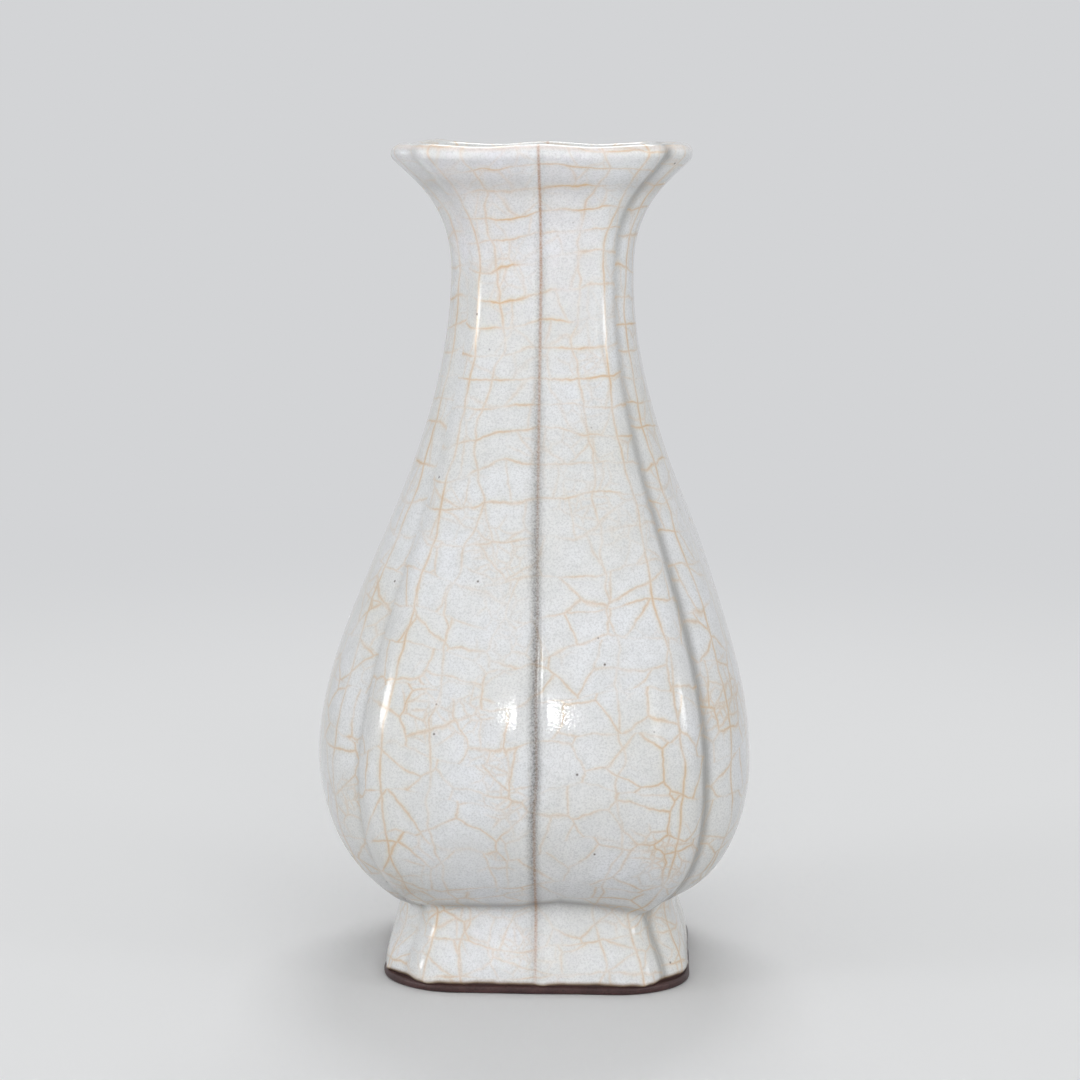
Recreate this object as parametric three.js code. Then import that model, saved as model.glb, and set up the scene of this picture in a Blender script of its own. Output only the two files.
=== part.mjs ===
// Square lobed vase, pressed in panels: a narrow neck, a full low belly and a flared foot
// that stands on a bare rounded-square rim.
//
// Millimetres, +Z up. The vase stands on z = 0 and its axis is the Z axis. The front faces -Y.
//
// The plan is a bowed square at every height. Each side has a soft groove down its middle,
// and neighbouring sides meet in a re-entrant corner, so eight lobes run from lip to foot.
// The four walls are alike and so are the four foot walls: each is lofted once for the front
// and turned a quarter for every next side. They are joined edge to edge in the corners,
// where each edge stops half a joint short of the diagonal plane.

import * as THREE from 'three';

// Driving dimensions of the side profile. A half-width is taken across the flats, from the
// axis to the crest of a side, and z is the height above the table.
const HEIGHT = 220;
const MOUTH_HALF = 39.4;
const MOUTH_SLOPE = THREE.MathUtils.degToRad(48);
const NECK_HALF = 24.2;
const NECK_Z = 187;
const BELLY_HALF = 58.0;
const BELLY_Z = 57.5;
const WAIST_HALF = 36.8;
const WAIST_Z = 21.5;
const UNDERSIDE_SLOPE = THREE.MathUtils.degToRad(20);
const FOOT_HALF = 40.6;

// How far each end of a profile curve runs straight before it bends, along its own tangent.
const MOUTH_REACH = 8.7;
const NECK_REACH_UP = 17;
const NECK_REACH_DOWN = 51;
const BELLY_REACH_UP = 39.5;
const BELLY_REACH_DOWN = 15.7;
const UNDERSIDE_REACH = 12.6;
const FOOT_REACH_TOP = 9;
const FOOT_REACH_BOTTOM = 7;

// Thicknesses of the pressed clay and its joints.
const WALL = 4.4;
const SEAT_WALL = 7.2;
const FLOOR = 5;
const FOOT_WALL_TOP = 9.5;
const FOOT_WALL_BOTTOM = 7;
const JOINT = 0.3;

// The bare rim that the foot walls stand on.
const RIM_HEIGHT = 2.1;
const RIM_HALF = 41.5;
const RIM_CORNER = 20;
const RIM_WIDTH = 7;
const RIM_EDGE = 0.5;

// The plan at a few heights. Corner is where two sides meet, as a share of the half-width, and
// pinch is how far that corner is drawn in beyond it. A side bows out as a power curve: the
// higher the power, the flatter its middle. The groove has a depth and a half-breadth.
const PLANS = [
  { z: 0, corner: 0.86, pinch: 0.6, power: 7, grooveDepth: 0.7, grooveBreadth: 2.4 },
  { z: WAIST_Z, corner: 0.83, pinch: 0.6, power: 4, grooveDepth: 0.9, grooveBreadth: 2.4 },
  { z: BELLY_Z, corner: 0.785, pinch: 0.9, power: 3, grooveDepth: 2.8, grooveBreadth: 3.0 },
  { z: NECK_Z, corner: 0.825, pinch: 0.6, power: 3, grooveDepth: 1.0, grooveBreadth: 2.6 },
  { z: HEIGHT, corner: 0.88, pinch: 1.2, power: 4, grooveDepth: 0.9, grooveBreadth: 2.6 },
];

// Half-breadth of the pinch in a corner.
const PINCH_BREADTH = 2.6;
// The inside follows the groove and the pinch by this share of their depth.
const INNER_GROOVE = 0.5;

// Mesh fineness.
const CELLS_PER_HALF = 8;
const MOUTH_ROWS = 6;
const NECK_ROWS = 9;
const UNDERSIDE_ROWS = 7;
const LIP_ROWS = 4;
const FOOT_ROWS = 6;
const RIM_CORNER_CELLS = 8;
const RIM_EDGE_ROWS = 2;

// Finishes: pale blue-grey glaze over crackle, and the iron-dressed bare rim.
const GLAZE_COLOUR = '#dbe0e1';
const GLAZE_ROUGHNESS = 0.16;
const RIM_COLOUR = '#33211f';
const RIM_ROUGHNESS = 0.45;

const LIP_RADIUS = WALL / 2;
const LIP_CENTRE_Z = HEIGHT - LIP_RADIUS;
const QUARTER_TURN = Math.PI / 2;

// A direction in the profile plane: x is outward and y is up.
function direction(angle) {
  return new THREE.Vector2(Math.cos(angle), Math.sin(angle));
}

// A cubic curve between two profile points that leaves and arrives along given directions.
function profileCurve(start, startHandle, end, endHandle) {
  return new THREE.CubicBezierCurve(
    start,
    start.clone().add(startHandle),
    end.clone().add(endHandle),
    end,
  );
}

const UP = new THREE.Vector2(0, 1);

const bellyPoint = new THREE.Vector2(BELLY_HALF, BELLY_Z);
const neckPoint = new THREE.Vector2(NECK_HALF, NECK_Z);
const waistPoint = new THREE.Vector2(WAIST_HALF, WAIST_Z + JOINT / 2);

// The lip is a half round, so the outside ends where its slope meets the round.
const lipCentre = new THREE.Vector2(MOUTH_HALF - LIP_RADIUS, LIP_CENTRE_Z);
const lipStart = MOUTH_SLOPE - QUARTER_TURN;
const mouthPoint = direction(lipStart).multiplyScalar(LIP_RADIUS).add(lipCentre);

const undersideCurve = profileCurve(
  waistPoint,
  direction(UNDERSIDE_SLOPE).multiplyScalar(UNDERSIDE_REACH),
  bellyPoint,
  UP.clone().multiplyScalar(-BELLY_REACH_DOWN),
);
const neckCurve = profileCurve(
  bellyPoint,
  UP.clone().multiplyScalar(BELLY_REACH_UP),
  neckPoint,
  UP.clone().multiplyScalar(-NECK_REACH_DOWN),
);
const mouthCurve = profileCurve(
  neckPoint,
  UP.clone().multiplyScalar(NECK_REACH_UP),
  mouthPoint,
  direction(MOUTH_SLOPE).multiplyScalar(-MOUTH_REACH),
);

// Points and outward normals of a curve that runs upwards, from its start to just before
// its end, or to its end when closing is set.
function sampleCurve(curve, rows, closing) {
  const samples = [];
  const last = closing ? rows : rows - 1;
  for (let row = 0; row <= last; row += 1) {
    const share = row / rows;
    const tangent = curve.getTangent(share);
    const normal = new THREE.Vector2(tangent.y, -tangent.x);
    samples.push({ point: curve.getPoint(share), normal });
  }
  return samples;
}

// The outside of a wall from the waist to the lip.
const outside = [
  ...sampleCurve(undersideCurve, UNDERSIDE_ROWS, false),
  ...sampleCurve(neckCurve, NECK_ROWS, false),
  ...sampleCurve(mouthCurve, MOUTH_ROWS, true),
];

// The inside lies one wall thickness in along the normal. Towards the floor the wall thickens
// to its seat, and the offset turns level so that the lower edge is flat.
function insidePoint({ point, normal }) {
  const lift = (point.y - waistPoint.y) / (BELLY_Z - waistPoint.y);
  const blend = THREE.MathUtils.smoothstep(lift, 0, 1);
  const along = normal.clone().multiplyScalar(WALL);
  const level = new THREE.Vector2(SEAT_WALL, 0);
  return point.clone().sub(level.lerp(along, blend));
}

const inside = outside.map(insidePoint);

// Half-width of the inside at a given height, read off the lower part of the inside profile.
function insideHalf(z) {
  const upper = inside.findIndex((point) => point.y > z);
  const next = Math.max(upper, 1);
  const below = inside[next - 1];
  const above = inside[next];
  const share = (z - below.y) / (above.y - below.y);
  return THREE.MathUtils.lerp(below.x, above.x, share);
}

// The plan values at a height, eased between the two nearest entries of the list.
function planAt(z) {
  const next = PLANS.findIndex((plan) => plan.z >= z);
  const upper = PLANS[next < 0 ? PLANS.length - 1 : Math.max(next, 1)];
  const lower = PLANS[PLANS.indexOf(upper) - 1];
  const share = THREE.MathUtils.smoothstep(z, lower.z, upper.z);
  return {
    corner: THREE.MathUtils.lerp(lower.corner, upper.corner, share),
    pinch: THREE.MathUtils.lerp(lower.pinch, upper.pinch, share),
    power: THREE.MathUtils.lerp(lower.power, upper.power, share),
    grooveDepth: THREE.MathUtils.lerp(lower.grooveDepth, upper.grooveDepth, share),
    grooveBreadth: THREE.MathUtils.lerp(lower.grooveBreadth, upper.grooveBreadth, share),
  };
}

// One point of a front side at a given height. Across runs from -1 at the left corner to 1
// at the right one. The side is a bowed curve that ends square to its neighbour in the
// corner, less a soft groove in the middle. The pinch draws both sides of a corner in along
// the diagonal. Depth share is how much of the groove and the pinch this surface follows.
function sidePoint(across, half, z, depthShare) {
  const plan = planAt(z);
  const reach = Math.min(Math.abs(across), 1);
  const corner = plan.corner * half;
  const bow = Math.sqrt(Math.max(0, 1 - reach ** plan.power));
  const flat = across * corner;
  const groove = plan.grooveDepth * depthShare * Math.exp(-((flat / plan.grooveBreadth) ** 2));
  const offCorner = (corner - Math.abs(flat)) / PINCH_BREADTH;
  const pinch = plan.pinch * depthShare * Math.exp(-(offCorner ** 2));
  const out = corner + (half - corner) * bow - groove - pinch;
  return new THREE.Vector3(flat - Math.sign(across) * pinch, -out, z);
}

// Positions across a side, closer together at the groove and at the corners.
const acrossSteps = [];
for (let cell = -CELLS_PER_HALF; cell <= CELLS_PER_HALF; cell += 1) {
  const share = Math.abs(cell) / CELLS_PER_HALF;
  const eased = (1 - Math.cos(Math.PI * share)) / 2;
  acrossSteps.push(Math.sign(cell) * eased);
}

// Draws the two end columns back from the diagonal planes by half a joint.
function clearOfCorner(point) {
  const limit = -point.y - (JOINT / 2) * Math.SQRT2;
  point.x = THREE.MathUtils.clamp(point.x, -limit, limit);
  return point;
}

// A closed body swept across a side. Each loop runs up the outside and down the inside, and
// pairs its first point with its last one, its second with its last but one, and so on.
function bodyFromLoops(loops) {
  const count = loops[0].length;
  const positions = loops.flat().flatMap((point) => [point.x, point.y, point.z]);
  const faces = [];
  for (let column = 0; column < loops.length - 1; column += 1) {
    for (let row = 0; row < count; row += 1) {
      const a = column * count + row;
      const b = column * count + ((row + 1) % count);
      const c = a + count;
      const d = b + count;
      faces.push(a, c, b, c, d, b);
    }
  }
  const lastColumn = (loops.length - 1) * count;
  for (let row = 0; row < count / 2 - 1; row += 1) {
    const mate = count - 1 - row;
    faces.push(row, row + 1, mate, row + 1, mate - 1, mate);
    faces.push(lastColumn + row, lastColumn + mate, lastColumn + row + 1);
    faces.push(lastColumn + row + 1, lastColumn + mate, lastColumn + mate - 1);
  }
  const geometry = new THREE.BufferGeometry();
  geometry.setAttribute('position', new THREE.Float32BufferAttribute(positions, 3));
  geometry.setIndex(faces);
  geometry.computeVertexNormals();
  return geometry;
}

// The half round of the lip, between the top of the outside and the top of the inside.
const lipPoints = [];
for (let row = 1; row < LIP_ROWS; row += 1) {
  const angle = lipStart + (Math.PI * row) / LIP_ROWS;
  lipPoints.push(direction(angle).multiplyScalar(LIP_RADIUS).add(lipCentre));
}

// A tall wall, from its seat on the foot to the lip and down the inside.
function wallGeometry() {
  const loops = acrossSteps.map((across) => {
    const outer = outside.map(({ point }) => sidePoint(across, point.x, point.y, 1));
    const lip = lipPoints.map((point) => sidePoint(across, point.x, point.y, 1));
    const inner = inside.map((point) => sidePoint(across, point.x, point.y, INNER_GROOVE));
    return [...outer, ...lip, ...inner.reverse()].map(clearOfCorner);
  });
  return bodyFromLoops(loops);
}

const footTopZ = WAIST_Z - JOINT / 2;
const footBottomZ = RIM_HEIGHT + JOINT;

const footCurve = profileCurve(
  new THREE.Vector2(FOOT_HALF, footBottomZ),
  UP.clone().multiplyScalar(FOOT_REACH_BOTTOM),
  new THREE.Vector2(WAIST_HALF, footTopZ),
  UP.clone().multiplyScalar(-FOOT_REACH_TOP),
);

// A foot wall: flared outside, with a plain inside that leans the same way.
function footGeometry() {
  const outer = sampleCurve(footCurve, FOOT_ROWS, true).map(({ point }) => point);
  const inner = outer.map((point) => {
    const share = (point.y - footBottomZ) / (footTopZ - footBottomZ);
    const wall = THREE.MathUtils.lerp(FOOT_WALL_BOTTOM, FOOT_WALL_TOP, share);
    return new THREE.Vector2(point.x - wall, point.y);
  });
  const loops = acrossSteps.map((across) => {
    const up = outer.map((point) => sidePoint(across, point.x, point.y, 1));
    const down = inner.map((point) => sidePoint(across, point.x, point.y, 0)).reverse();
    return [...up, ...down].map(clearOfCorner);
  });
  return bodyFromLoops(loops);
}

// The whole outline at a height, once round from the left corner of the front.
function outlineAt(half, z) {
  const points = [];
  for (let side = 0; side < 4; side += 1) {
    const turn = new THREE.Matrix4().makeRotationZ(side * QUARTER_TURN);
    for (const across of acrossSteps.slice(0, -1)) {
      points.push(sidePoint(across, half, z, INNER_GROOVE).applyMatrix4(turn));
    }
  }
  return points;
}

// The floor slab fills the foot of the walls: its edge leans with their inside, one joint
// away, and its underside lies on the ledge that the foot walls leave.
function floorGeometry() {
  const bottomZ = WAIST_Z + JOINT / 2;
  const topZ = bottomZ + FLOOR;
  const rings = [bottomZ, topZ].map((z) => outlineAt(insideHalf(z) - 2 * JOINT, z));
  const count = rings[0].length;
  const centres = [new THREE.Vector3(0, 0, bottomZ), new THREE.Vector3(0, 0, topZ)];
  const positions = [...rings.flat(), ...centres].flatMap((p) => [p.x, p.y, p.z]);
  const faces = [];
  for (let step = 0; step < count; step += 1) {
    const next = (step + 1) % count;
    faces.push(step, next, count + step);
    faces.push(next, count + next, count + step);
    faces.push(2 * count, next, step);
    faces.push(2 * count + 1, count + step, count + next);
  }
  const geometry = new THREE.BufferGeometry();
  geometry.setAttribute('position', new THREE.Float32BufferAttribute(positions, 3));
  geometry.setIndex(faces);
  geometry.computeVertexNormals();
  return geometry;
}

// A square with round corners, as an outline or as the hole in one.
function roundedSquare(target, half, corner) {
  const flat = half - corner;
  target.absarc(flat, flat, corner, 0, QUARTER_TURN);
  target.absarc(-flat, flat, corner, QUARTER_TURN, 2 * QUARTER_TURN);
  target.absarc(-flat, -flat, corner, 2 * QUARTER_TURN, 3 * QUARTER_TURN);
  target.absarc(flat, -flat, corner, 3 * QUARTER_TURN, 4 * QUARTER_TURN);
  target.closePath();
  return target;
}

// The bare rim: a flat band with its edges just broken.
function rimGeometry() {
  const outline = roundedSquare(new THREE.Shape(), RIM_HALF - RIM_EDGE, RIM_CORNER - RIM_EDGE);
  const innerHalf = RIM_HALF - RIM_WIDTH + RIM_EDGE;
  const innerCorner = RIM_CORNER - RIM_WIDTH + RIM_EDGE;
  outline.holes.push(roundedSquare(new THREE.Path(), innerHalf, innerCorner));
  const geometry = new THREE.ExtrudeGeometry(outline, {
    depth: RIM_HEIGHT - 2 * RIM_EDGE,
    curveSegments: RIM_CORNER_CELLS,
    bevelEnabled: true,
    bevelThickness: RIM_EDGE,
    bevelSize: RIM_EDGE,
    bevelSegments: RIM_EDGE_ROWS,
  });
  geometry.translate(0, 0, RIM_EDGE);
  return geometry;
}

function glaze() {
  return new THREE.MeshStandardMaterial({
    color: GLAZE_COLOUR,
    roughness: GLAZE_ROUGHNESS,
    metalness: 0,
  });
}

function bareRim() {
  return new THREE.MeshStandardMaterial({
    color: RIM_COLOUR,
    roughness: RIM_ROUGHNESS,
    metalness: 0,
  });
}

const vase = new THREE.Group();

function addPiece(name, geometry, material, quarterTurns) {
  const mesh = new THREE.Mesh(geometry, material);
  mesh.name = name;
  mesh.rotation.z = quarterTurns * QUARTER_TURN;
  vase.add(mesh);
}

['front', 'right', 'back', 'left'].forEach((side, turns) => {
  addPiece(`wall_${side}`, wallGeometry(), glaze(), turns);
  addPiece(`foot_${side}`, footGeometry(), glaze(), turns);
});
addPiece('floor_slab', floorGeometry(), glaze(), 0);
addPiece('foot_rim', rimGeometry(), bareRim(), 0);

export default vase;
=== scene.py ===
# %% [markdown]
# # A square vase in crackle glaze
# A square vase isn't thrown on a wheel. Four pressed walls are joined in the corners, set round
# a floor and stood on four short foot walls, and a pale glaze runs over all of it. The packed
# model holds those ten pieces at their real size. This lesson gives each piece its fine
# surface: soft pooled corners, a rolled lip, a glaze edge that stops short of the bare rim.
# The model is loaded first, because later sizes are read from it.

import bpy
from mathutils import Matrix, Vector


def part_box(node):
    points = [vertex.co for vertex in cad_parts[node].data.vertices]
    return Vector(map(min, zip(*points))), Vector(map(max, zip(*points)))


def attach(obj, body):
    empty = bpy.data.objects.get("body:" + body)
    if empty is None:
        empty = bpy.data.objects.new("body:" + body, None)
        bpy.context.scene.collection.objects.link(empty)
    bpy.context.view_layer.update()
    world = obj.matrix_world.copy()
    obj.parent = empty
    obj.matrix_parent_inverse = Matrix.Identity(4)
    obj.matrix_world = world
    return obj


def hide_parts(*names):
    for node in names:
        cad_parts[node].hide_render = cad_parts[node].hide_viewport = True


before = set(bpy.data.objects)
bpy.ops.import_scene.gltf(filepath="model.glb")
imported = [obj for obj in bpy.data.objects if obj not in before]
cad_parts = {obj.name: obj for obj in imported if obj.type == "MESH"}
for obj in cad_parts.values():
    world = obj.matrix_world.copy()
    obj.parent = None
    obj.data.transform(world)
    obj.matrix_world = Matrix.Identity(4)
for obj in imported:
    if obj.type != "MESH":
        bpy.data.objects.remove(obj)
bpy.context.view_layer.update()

# %% [markdown]
# ## Working in millimetres
# A potter's sizes are millimetres and Blender's are metres, so everything is worked out in
# millimetres and scaled once, when a mesh is written. The easing curve below is used for
# every change that should start and stop softly, as clay and glaze do.

# %% Units and two helpers
import math

import bpy
import numpy as np
from mathutils import Vector

MM = 0.001


def smoothstep(low, high, value):
    """0 below low, 1 above high, and a soft rise between them."""
    share = np.clip((value - low) / (high - low), 0.0, 1.0)
    return share * share * (3 - 2 * share)


def box_mm(node):
    """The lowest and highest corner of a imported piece, in millimetres."""
    low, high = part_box(node)
    return np.array(low) / MM, np.array(high) / MM


wall_low, wall_high = box_mm("wall_front")
foot_low, foot_high = box_mm("foot_front")
rim_high = box_mm("foot_rim")[1]
slab_low, slab_high = box_mm("floor_slab")
HEIGHT = wall_high[2]
BELLY_HALF = -wall_low[1]
FOOT_HALF = -foot_low[1]
WAIST_Z = (wall_low[2] + foot_high[2]) / 2
RIM_HALF = rim_high[0]
RIM_HEIGHT = rim_high[2]
print(f"height {HEIGHT:.1f}, belly half {BELLY_HALF:.1f}, waist at {WAIST_Z:.1f} mm")

# %% [markdown]
# ## The side profile
# Seen from the front the vase is an S: a flared foot, a crease, a full low belly, a long
# neck and a flared mouth. It could be traced point by point, but a few cubic curves say the
# same with only the heights and widths that a potter would mark on a template. Each curve
# needs its two ends and how far each end runs straight before it bends.

# %% Profile curves, as pairs of half-width and height
MOUTH_HALF = 39.4
MOUTH_SLOPE = math.radians(48)
NECK_HALF, NECK_Z = 24.2, 187.0
BELLY_Z = 57.5
WAIST_HALF = 36.8
UNDERSIDE_SLOPE = math.radians(20)
FOOT_REACH_BOTTOM, FOOT_REACH_TOP = 7.0, 9.0
UNDERSIDE_REACH, BELLY_REACH_DOWN = 12.6, 15.7
BELLY_REACH_UP, NECK_REACH_DOWN = 39.5, 51.0
NECK_REACH_UP, MOUTH_REACH = 17.0, 8.7
WALL = 4.4
LIP_RADIUS = WALL / 2


def curve(start, start_pull, end, end_pull, steps=240):
    """Points of a cubic curve from its two ends and the pull at each end."""
    t = np.linspace(0, 1, steps + 1)[:, None]
    a, d = np.array(start), np.array(end)
    b, c = a + start_pull, d + end_pull
    return a * (1 - t) ** 3 + 3 * b * t * (1 - t) ** 2 + 3 * c * t**2 * (1 - t) + d * t**3


def heading(angle, length):
    """A step of that length, with the angle measured up from level."""
    return np.array([math.cos(angle), math.sin(angle)]) * length


up = np.array([0.0, 1.0])
lip_centre = np.array([MOUTH_HALF - LIP_RADIUS, HEIGHT - LIP_RADIUS])
lip_start = MOUTH_SLOPE - math.pi / 2
mouth_point = lip_centre + heading(lip_start, LIP_RADIUS)
foot_bottom = (FOOT_HALF, RIM_HEIGHT)
waist_point = (WAIST_HALF, WAIST_Z)
belly_point = (BELLY_HALF, BELLY_Z)
neck_point = (NECK_HALF, NECK_Z)
foot_line = curve(foot_bottom, up * FOOT_REACH_BOTTOM, waist_point, -up * FOOT_REACH_TOP)
belly_line = curve(waist_point, heading(UNDERSIDE_SLOPE, UNDERSIDE_REACH),
                   belly_point, -up * BELLY_REACH_DOWN)
neck_line = curve(belly_point, up * BELLY_REACH_UP, neck_point, -up * NECK_REACH_DOWN)
mouth_line = curve(neck_point, up * NECK_REACH_UP, mouth_point, heading(MOUTH_SLOPE, -MOUTH_REACH))
raw_line = np.vstack([foot_line, belly_line[1:], neck_line[1:], mouth_line[1:]])
print(f"profile from {raw_line[0]} to {raw_line[-1].round(1)}")

# %% [markdown]
# ## A crease filled with glaze
# Where the belly sits on the foot, two clay pieces meet at a sharp angle, but glaze runs
# into it and rounds it. A weighted average along the line gives just that rounding. It is
# faded in near the crease only, so the rest of the profile stays exact.

# %% Soften the crease
CREASE_FILL = 0.9
CREASE_REACH = 7.0
LINE_STEP = 0.2


def along_line(points):
    """Distance walked along a line of points, at each point."""
    steps = np.hypot(*np.diff(points, axis=0).T)
    return np.concatenate([[0.0], np.cumsum(steps)])


def at_distances(points, wanted):
    """Points of a line at the wanted distances along it."""
    walked = along_line(points)
    return np.column_stack([np.interp(wanted, walked, points[:, k]) for k in (0, 1)])


even_line = at_distances(raw_line, np.arange(0, along_line(raw_line)[-1], LINE_STEP))
reach = int(4 * CREASE_FILL / LINE_STEP)
bell = np.exp(-0.5 * (np.arange(-reach, reach + 1) * LINE_STEP / CREASE_FILL) ** 2)
bell /= bell.sum()
padded = np.pad(even_line, ((reach, reach), (0, 0)), mode="edge")
averaged = np.column_stack([np.convolve(padded[:, k], bell, "valid") for k in (0, 1)])
near_crease = np.exp(-(((even_line[:, 1] - WAIST_Z) / CREASE_REACH) ** 2))[:, None]
outer_line = np.vstack([even_line + (averaged - even_line) * near_crease, raw_line[-1]])
waist_at = np.interp(WAIST_Z, outer_line[:, 1], along_line(outer_line))
print(f"crease is {waist_at:.1f} mm up the profile")

# %% [markdown]
# ## Rows of foot and wall
# A surface needs its rows close together where it bends most: at the edge of the foot, in the
# crease and under the lip. Those are the ends of the foot and of the wall, so the rows are
# crowded towards both ends of each.

# %% Space the rows
FOOT_ROWS, FOOT_CROWDING = 40, 0.6
WALL_ROWS, WALL_CROWDING = 216, 0.5


def crowded_ends(count, crowding):
    """Shares from 0 to 1 that lie closer together at both ends."""
    t = np.linspace(0, 1, count + 1)
    return t - crowding * np.sin(2 * math.pi * t) / (2 * math.pi)


foot_walk = waist_at * crowded_ends(FOOT_ROWS, FOOT_CROWDING)
wall_length = along_line(outer_line)[-1] - waist_at
wall_walk = waist_at + wall_length * crowded_ends(WALL_ROWS, WALL_CROWDING)
foot_outer = at_distances(outer_line, foot_walk)
wall_outer = at_distances(outer_line, wall_walk)
print(f"{len(foot_outer)} foot rows and {len(wall_outer)} wall rows")

# %% [markdown]
# ## The inside of the walls
# A pressed wall is even in thickness. Its inside is the outside moved in along the normal,
# which keeps the wall even where it leans. Towards the floor the wall thickens to a seat, so
# there the step turns level. Nobody sees the inside closely, so it has a row for every
# fourth outside row.

# %% Lip and inside rows
LIP_ROWS = 10
MATE_EVERY = 4
SEAT_WALL = 7.2
FOOT_WALL_TOP, FOOT_WALL_BOTTOM = 9.5, 7.0

tangent = np.gradient(wall_outer, axis=0)
tangent /= np.hypot(*tangent.T)[:, None]
normal = np.column_stack([tangent[:, 1], -tangent[:, 0]])
normal[-1] = heading(lip_start, 1.0)
blend = smoothstep(WAIST_Z, BELLY_Z, wall_outer[:, 1])[:, None]
inward = normal * WALL * blend + np.array([SEAT_WALL, 0.0]) * (1 - blend)
wall_inner = (wall_outer - inward)[::MATE_EVERY]
lip_angles = lip_start + math.pi * np.arange(1, LIP_ROWS) / LIP_ROWS
lip_rows = np.array([lip_centre + heading(angle, LIP_RADIUS) for angle in lip_angles])

rise = (foot_outer[:, 1] - RIM_HEIGHT) / (WAIST_Z - RIM_HEIGHT)
foot_wall = FOOT_WALL_BOTTOM + (FOOT_WALL_TOP - FOOT_WALL_BOTTOM) * rise
foot_inner = np.column_stack([foot_outer[:, 0] - foot_wall, foot_outer[:, 1]])[::MATE_EVERY]
print(f"lip {2 * LIP_RADIUS:.1f} mm thick, {len(wall_inner)} inside rows")

# %% [markdown]
# ## The plan at a height
# From above, each side bows out and ends steeply at its neighbour, so the corners fold in.
# The bow is a power curve, flat at the foot and rounder at the belly, and a pinch draws each
# corner in a little more. One formula gives all sides, each turned a quarter further. Front
# and back swell right up to the folds, and the two others leave them more gently. The places
# in a plan are complex numbers, because a quarter turn is then one multiplication.

# %% The plan as the clay has it
SIDE_CELLS, SIDE_CROWDING = 120, 0.55
PINCH_BREADTH = [2.6, 6.0, 2.6, 6.0]
BOW_END = [0.56, 0.80, 0.56, 0.80]
PLAN_Z = [0.0, WAIST_Z, BELLY_Z, NECK_Z, HEIGHT]
PLAN_CORNER = [0.86, 0.83, 0.79, 0.825, 0.88]
PLAN_PINCH = [1.2, 1.2, 1.5, 1.2, 2.6]
PLAN_POWER = [7.0, 4.0, 2.8, 3.0, 4.0]

right_half = crowded_ends(SIDE_CELLS // 2, SIDE_CROWDING)[:-1]
across = np.concatenate([right_half - 1, right_half])


def eased(height, values):
    """A value at a height, eased between the heights of the plan list."""
    upper = int(np.clip(np.searchsorted(PLAN_Z, height), 1, len(PLAN_Z) - 1))
    share = smoothstep(PLAN_Z[upper - 1], PLAN_Z[upper], height)
    return values[upper - 1] + (values[upper] - values[upper - 1]) * share


def sharp_ring(half, height, depth_share):
    """The ring as the clay has it, as complex numbers x + iy, from the front left corner."""
    corner = eased(height, PLAN_CORNER) * half
    x = across * corner
    rest = np.clip(1 - np.abs(across) ** eased(height, PLAN_POWER), 0, None)
    sides = []
    for turn, (bow_end, breadth) in enumerate(zip(BOW_END, PINCH_BREADTH)):
        pinch = eased(height, PLAN_PINCH) * depth_share
        pinch = pinch * np.exp(-(((corner - np.abs(x)) / breadth) ** 2))
        side = x - np.sign(x) * pinch - 1j * (corner + (half - corner) * rest**bow_end - pinch)
        sides.append(side * 1j**turn)
    return np.concatenate(sides)


print(f"{len(sharp_ring(BELLY_HALF, BELLY_Z, 1.0))} points round the belly")

# %% [markdown]
# ## A groove down each side
# The groove was drawn in the clay with a tool held at a slant, so it's steep on its right and
# easy on its left, and it wanders as a hand does. On the belly it's deepest.

# %% Groove
GROOVE_DEPTH = [0.5, 0.7, 1.6, 0.8, 0.7]
GROOVE_LEFT = [2.0, 2.0, 2.4, 2.0, 1.8]
GROOVE_RIGHT = [1.6, 1.6, 1.2, 1.4, 1.5]
GROOVE_WANDER_Z = [0.0, 38.0, 51.0, 61.0, 72.0, 84.0, 98.0, 118.0, HEIGHT]
GROOVE_WANDER = [0.4, 0.7, 0.9, 1.7, 1.2, 0.8, 0.7, 0.0, 0.0]
WANDER_BY_SIDE = [1.0, -0.6, 0.8, -0.9]


def from_groove(half, height):
    """Distance of each point of a ring from the middle groove of its side, in mm."""
    wander = np.interp(height, GROOVE_WANDER_Z, GROOVE_WANDER) * np.repeat(WANDER_BY_SIDE, SIDE_CELLS)
    return np.tile(across * eased(height, PLAN_CORNER) * half, 4) - wander


def groove_depth(half, height):
    """Depth of the middle groove at each point of a ring."""
    x = from_groove(half, height)
    breadth = np.where(x < 0, eased(height, GROOVE_LEFT), eased(height, GROOVE_RIGHT))
    return eased(height, GROOVE_DEPTH) * np.exp(-((x / breadth) ** 2))


print(f"groove on the belly is {groove_depth(BELLY_HALF, BELLY_Z).max():.2f} mm deep")

# %% [markdown]
# ## Folds filled with glaze
# In clay the corners are sharp, and glaze fills them. Treating the ring as a wave and damping
# its shortest ripples, with a Fourier transform, rounds every corner by the same amount and
# leaves the broad bow alone. The same wave tells how hollow each point lies, which is where
# glaze pools and where the glaze colour later gets its grey of pooled glaze and painted shade.
# The groove is cut after the rounding, so it stays crisp.

# %% One ring of the vase
CORNER_FILL = 1.7
INSIDE_FILL = 2.4
RING_SAMPLES = 2048


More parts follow.
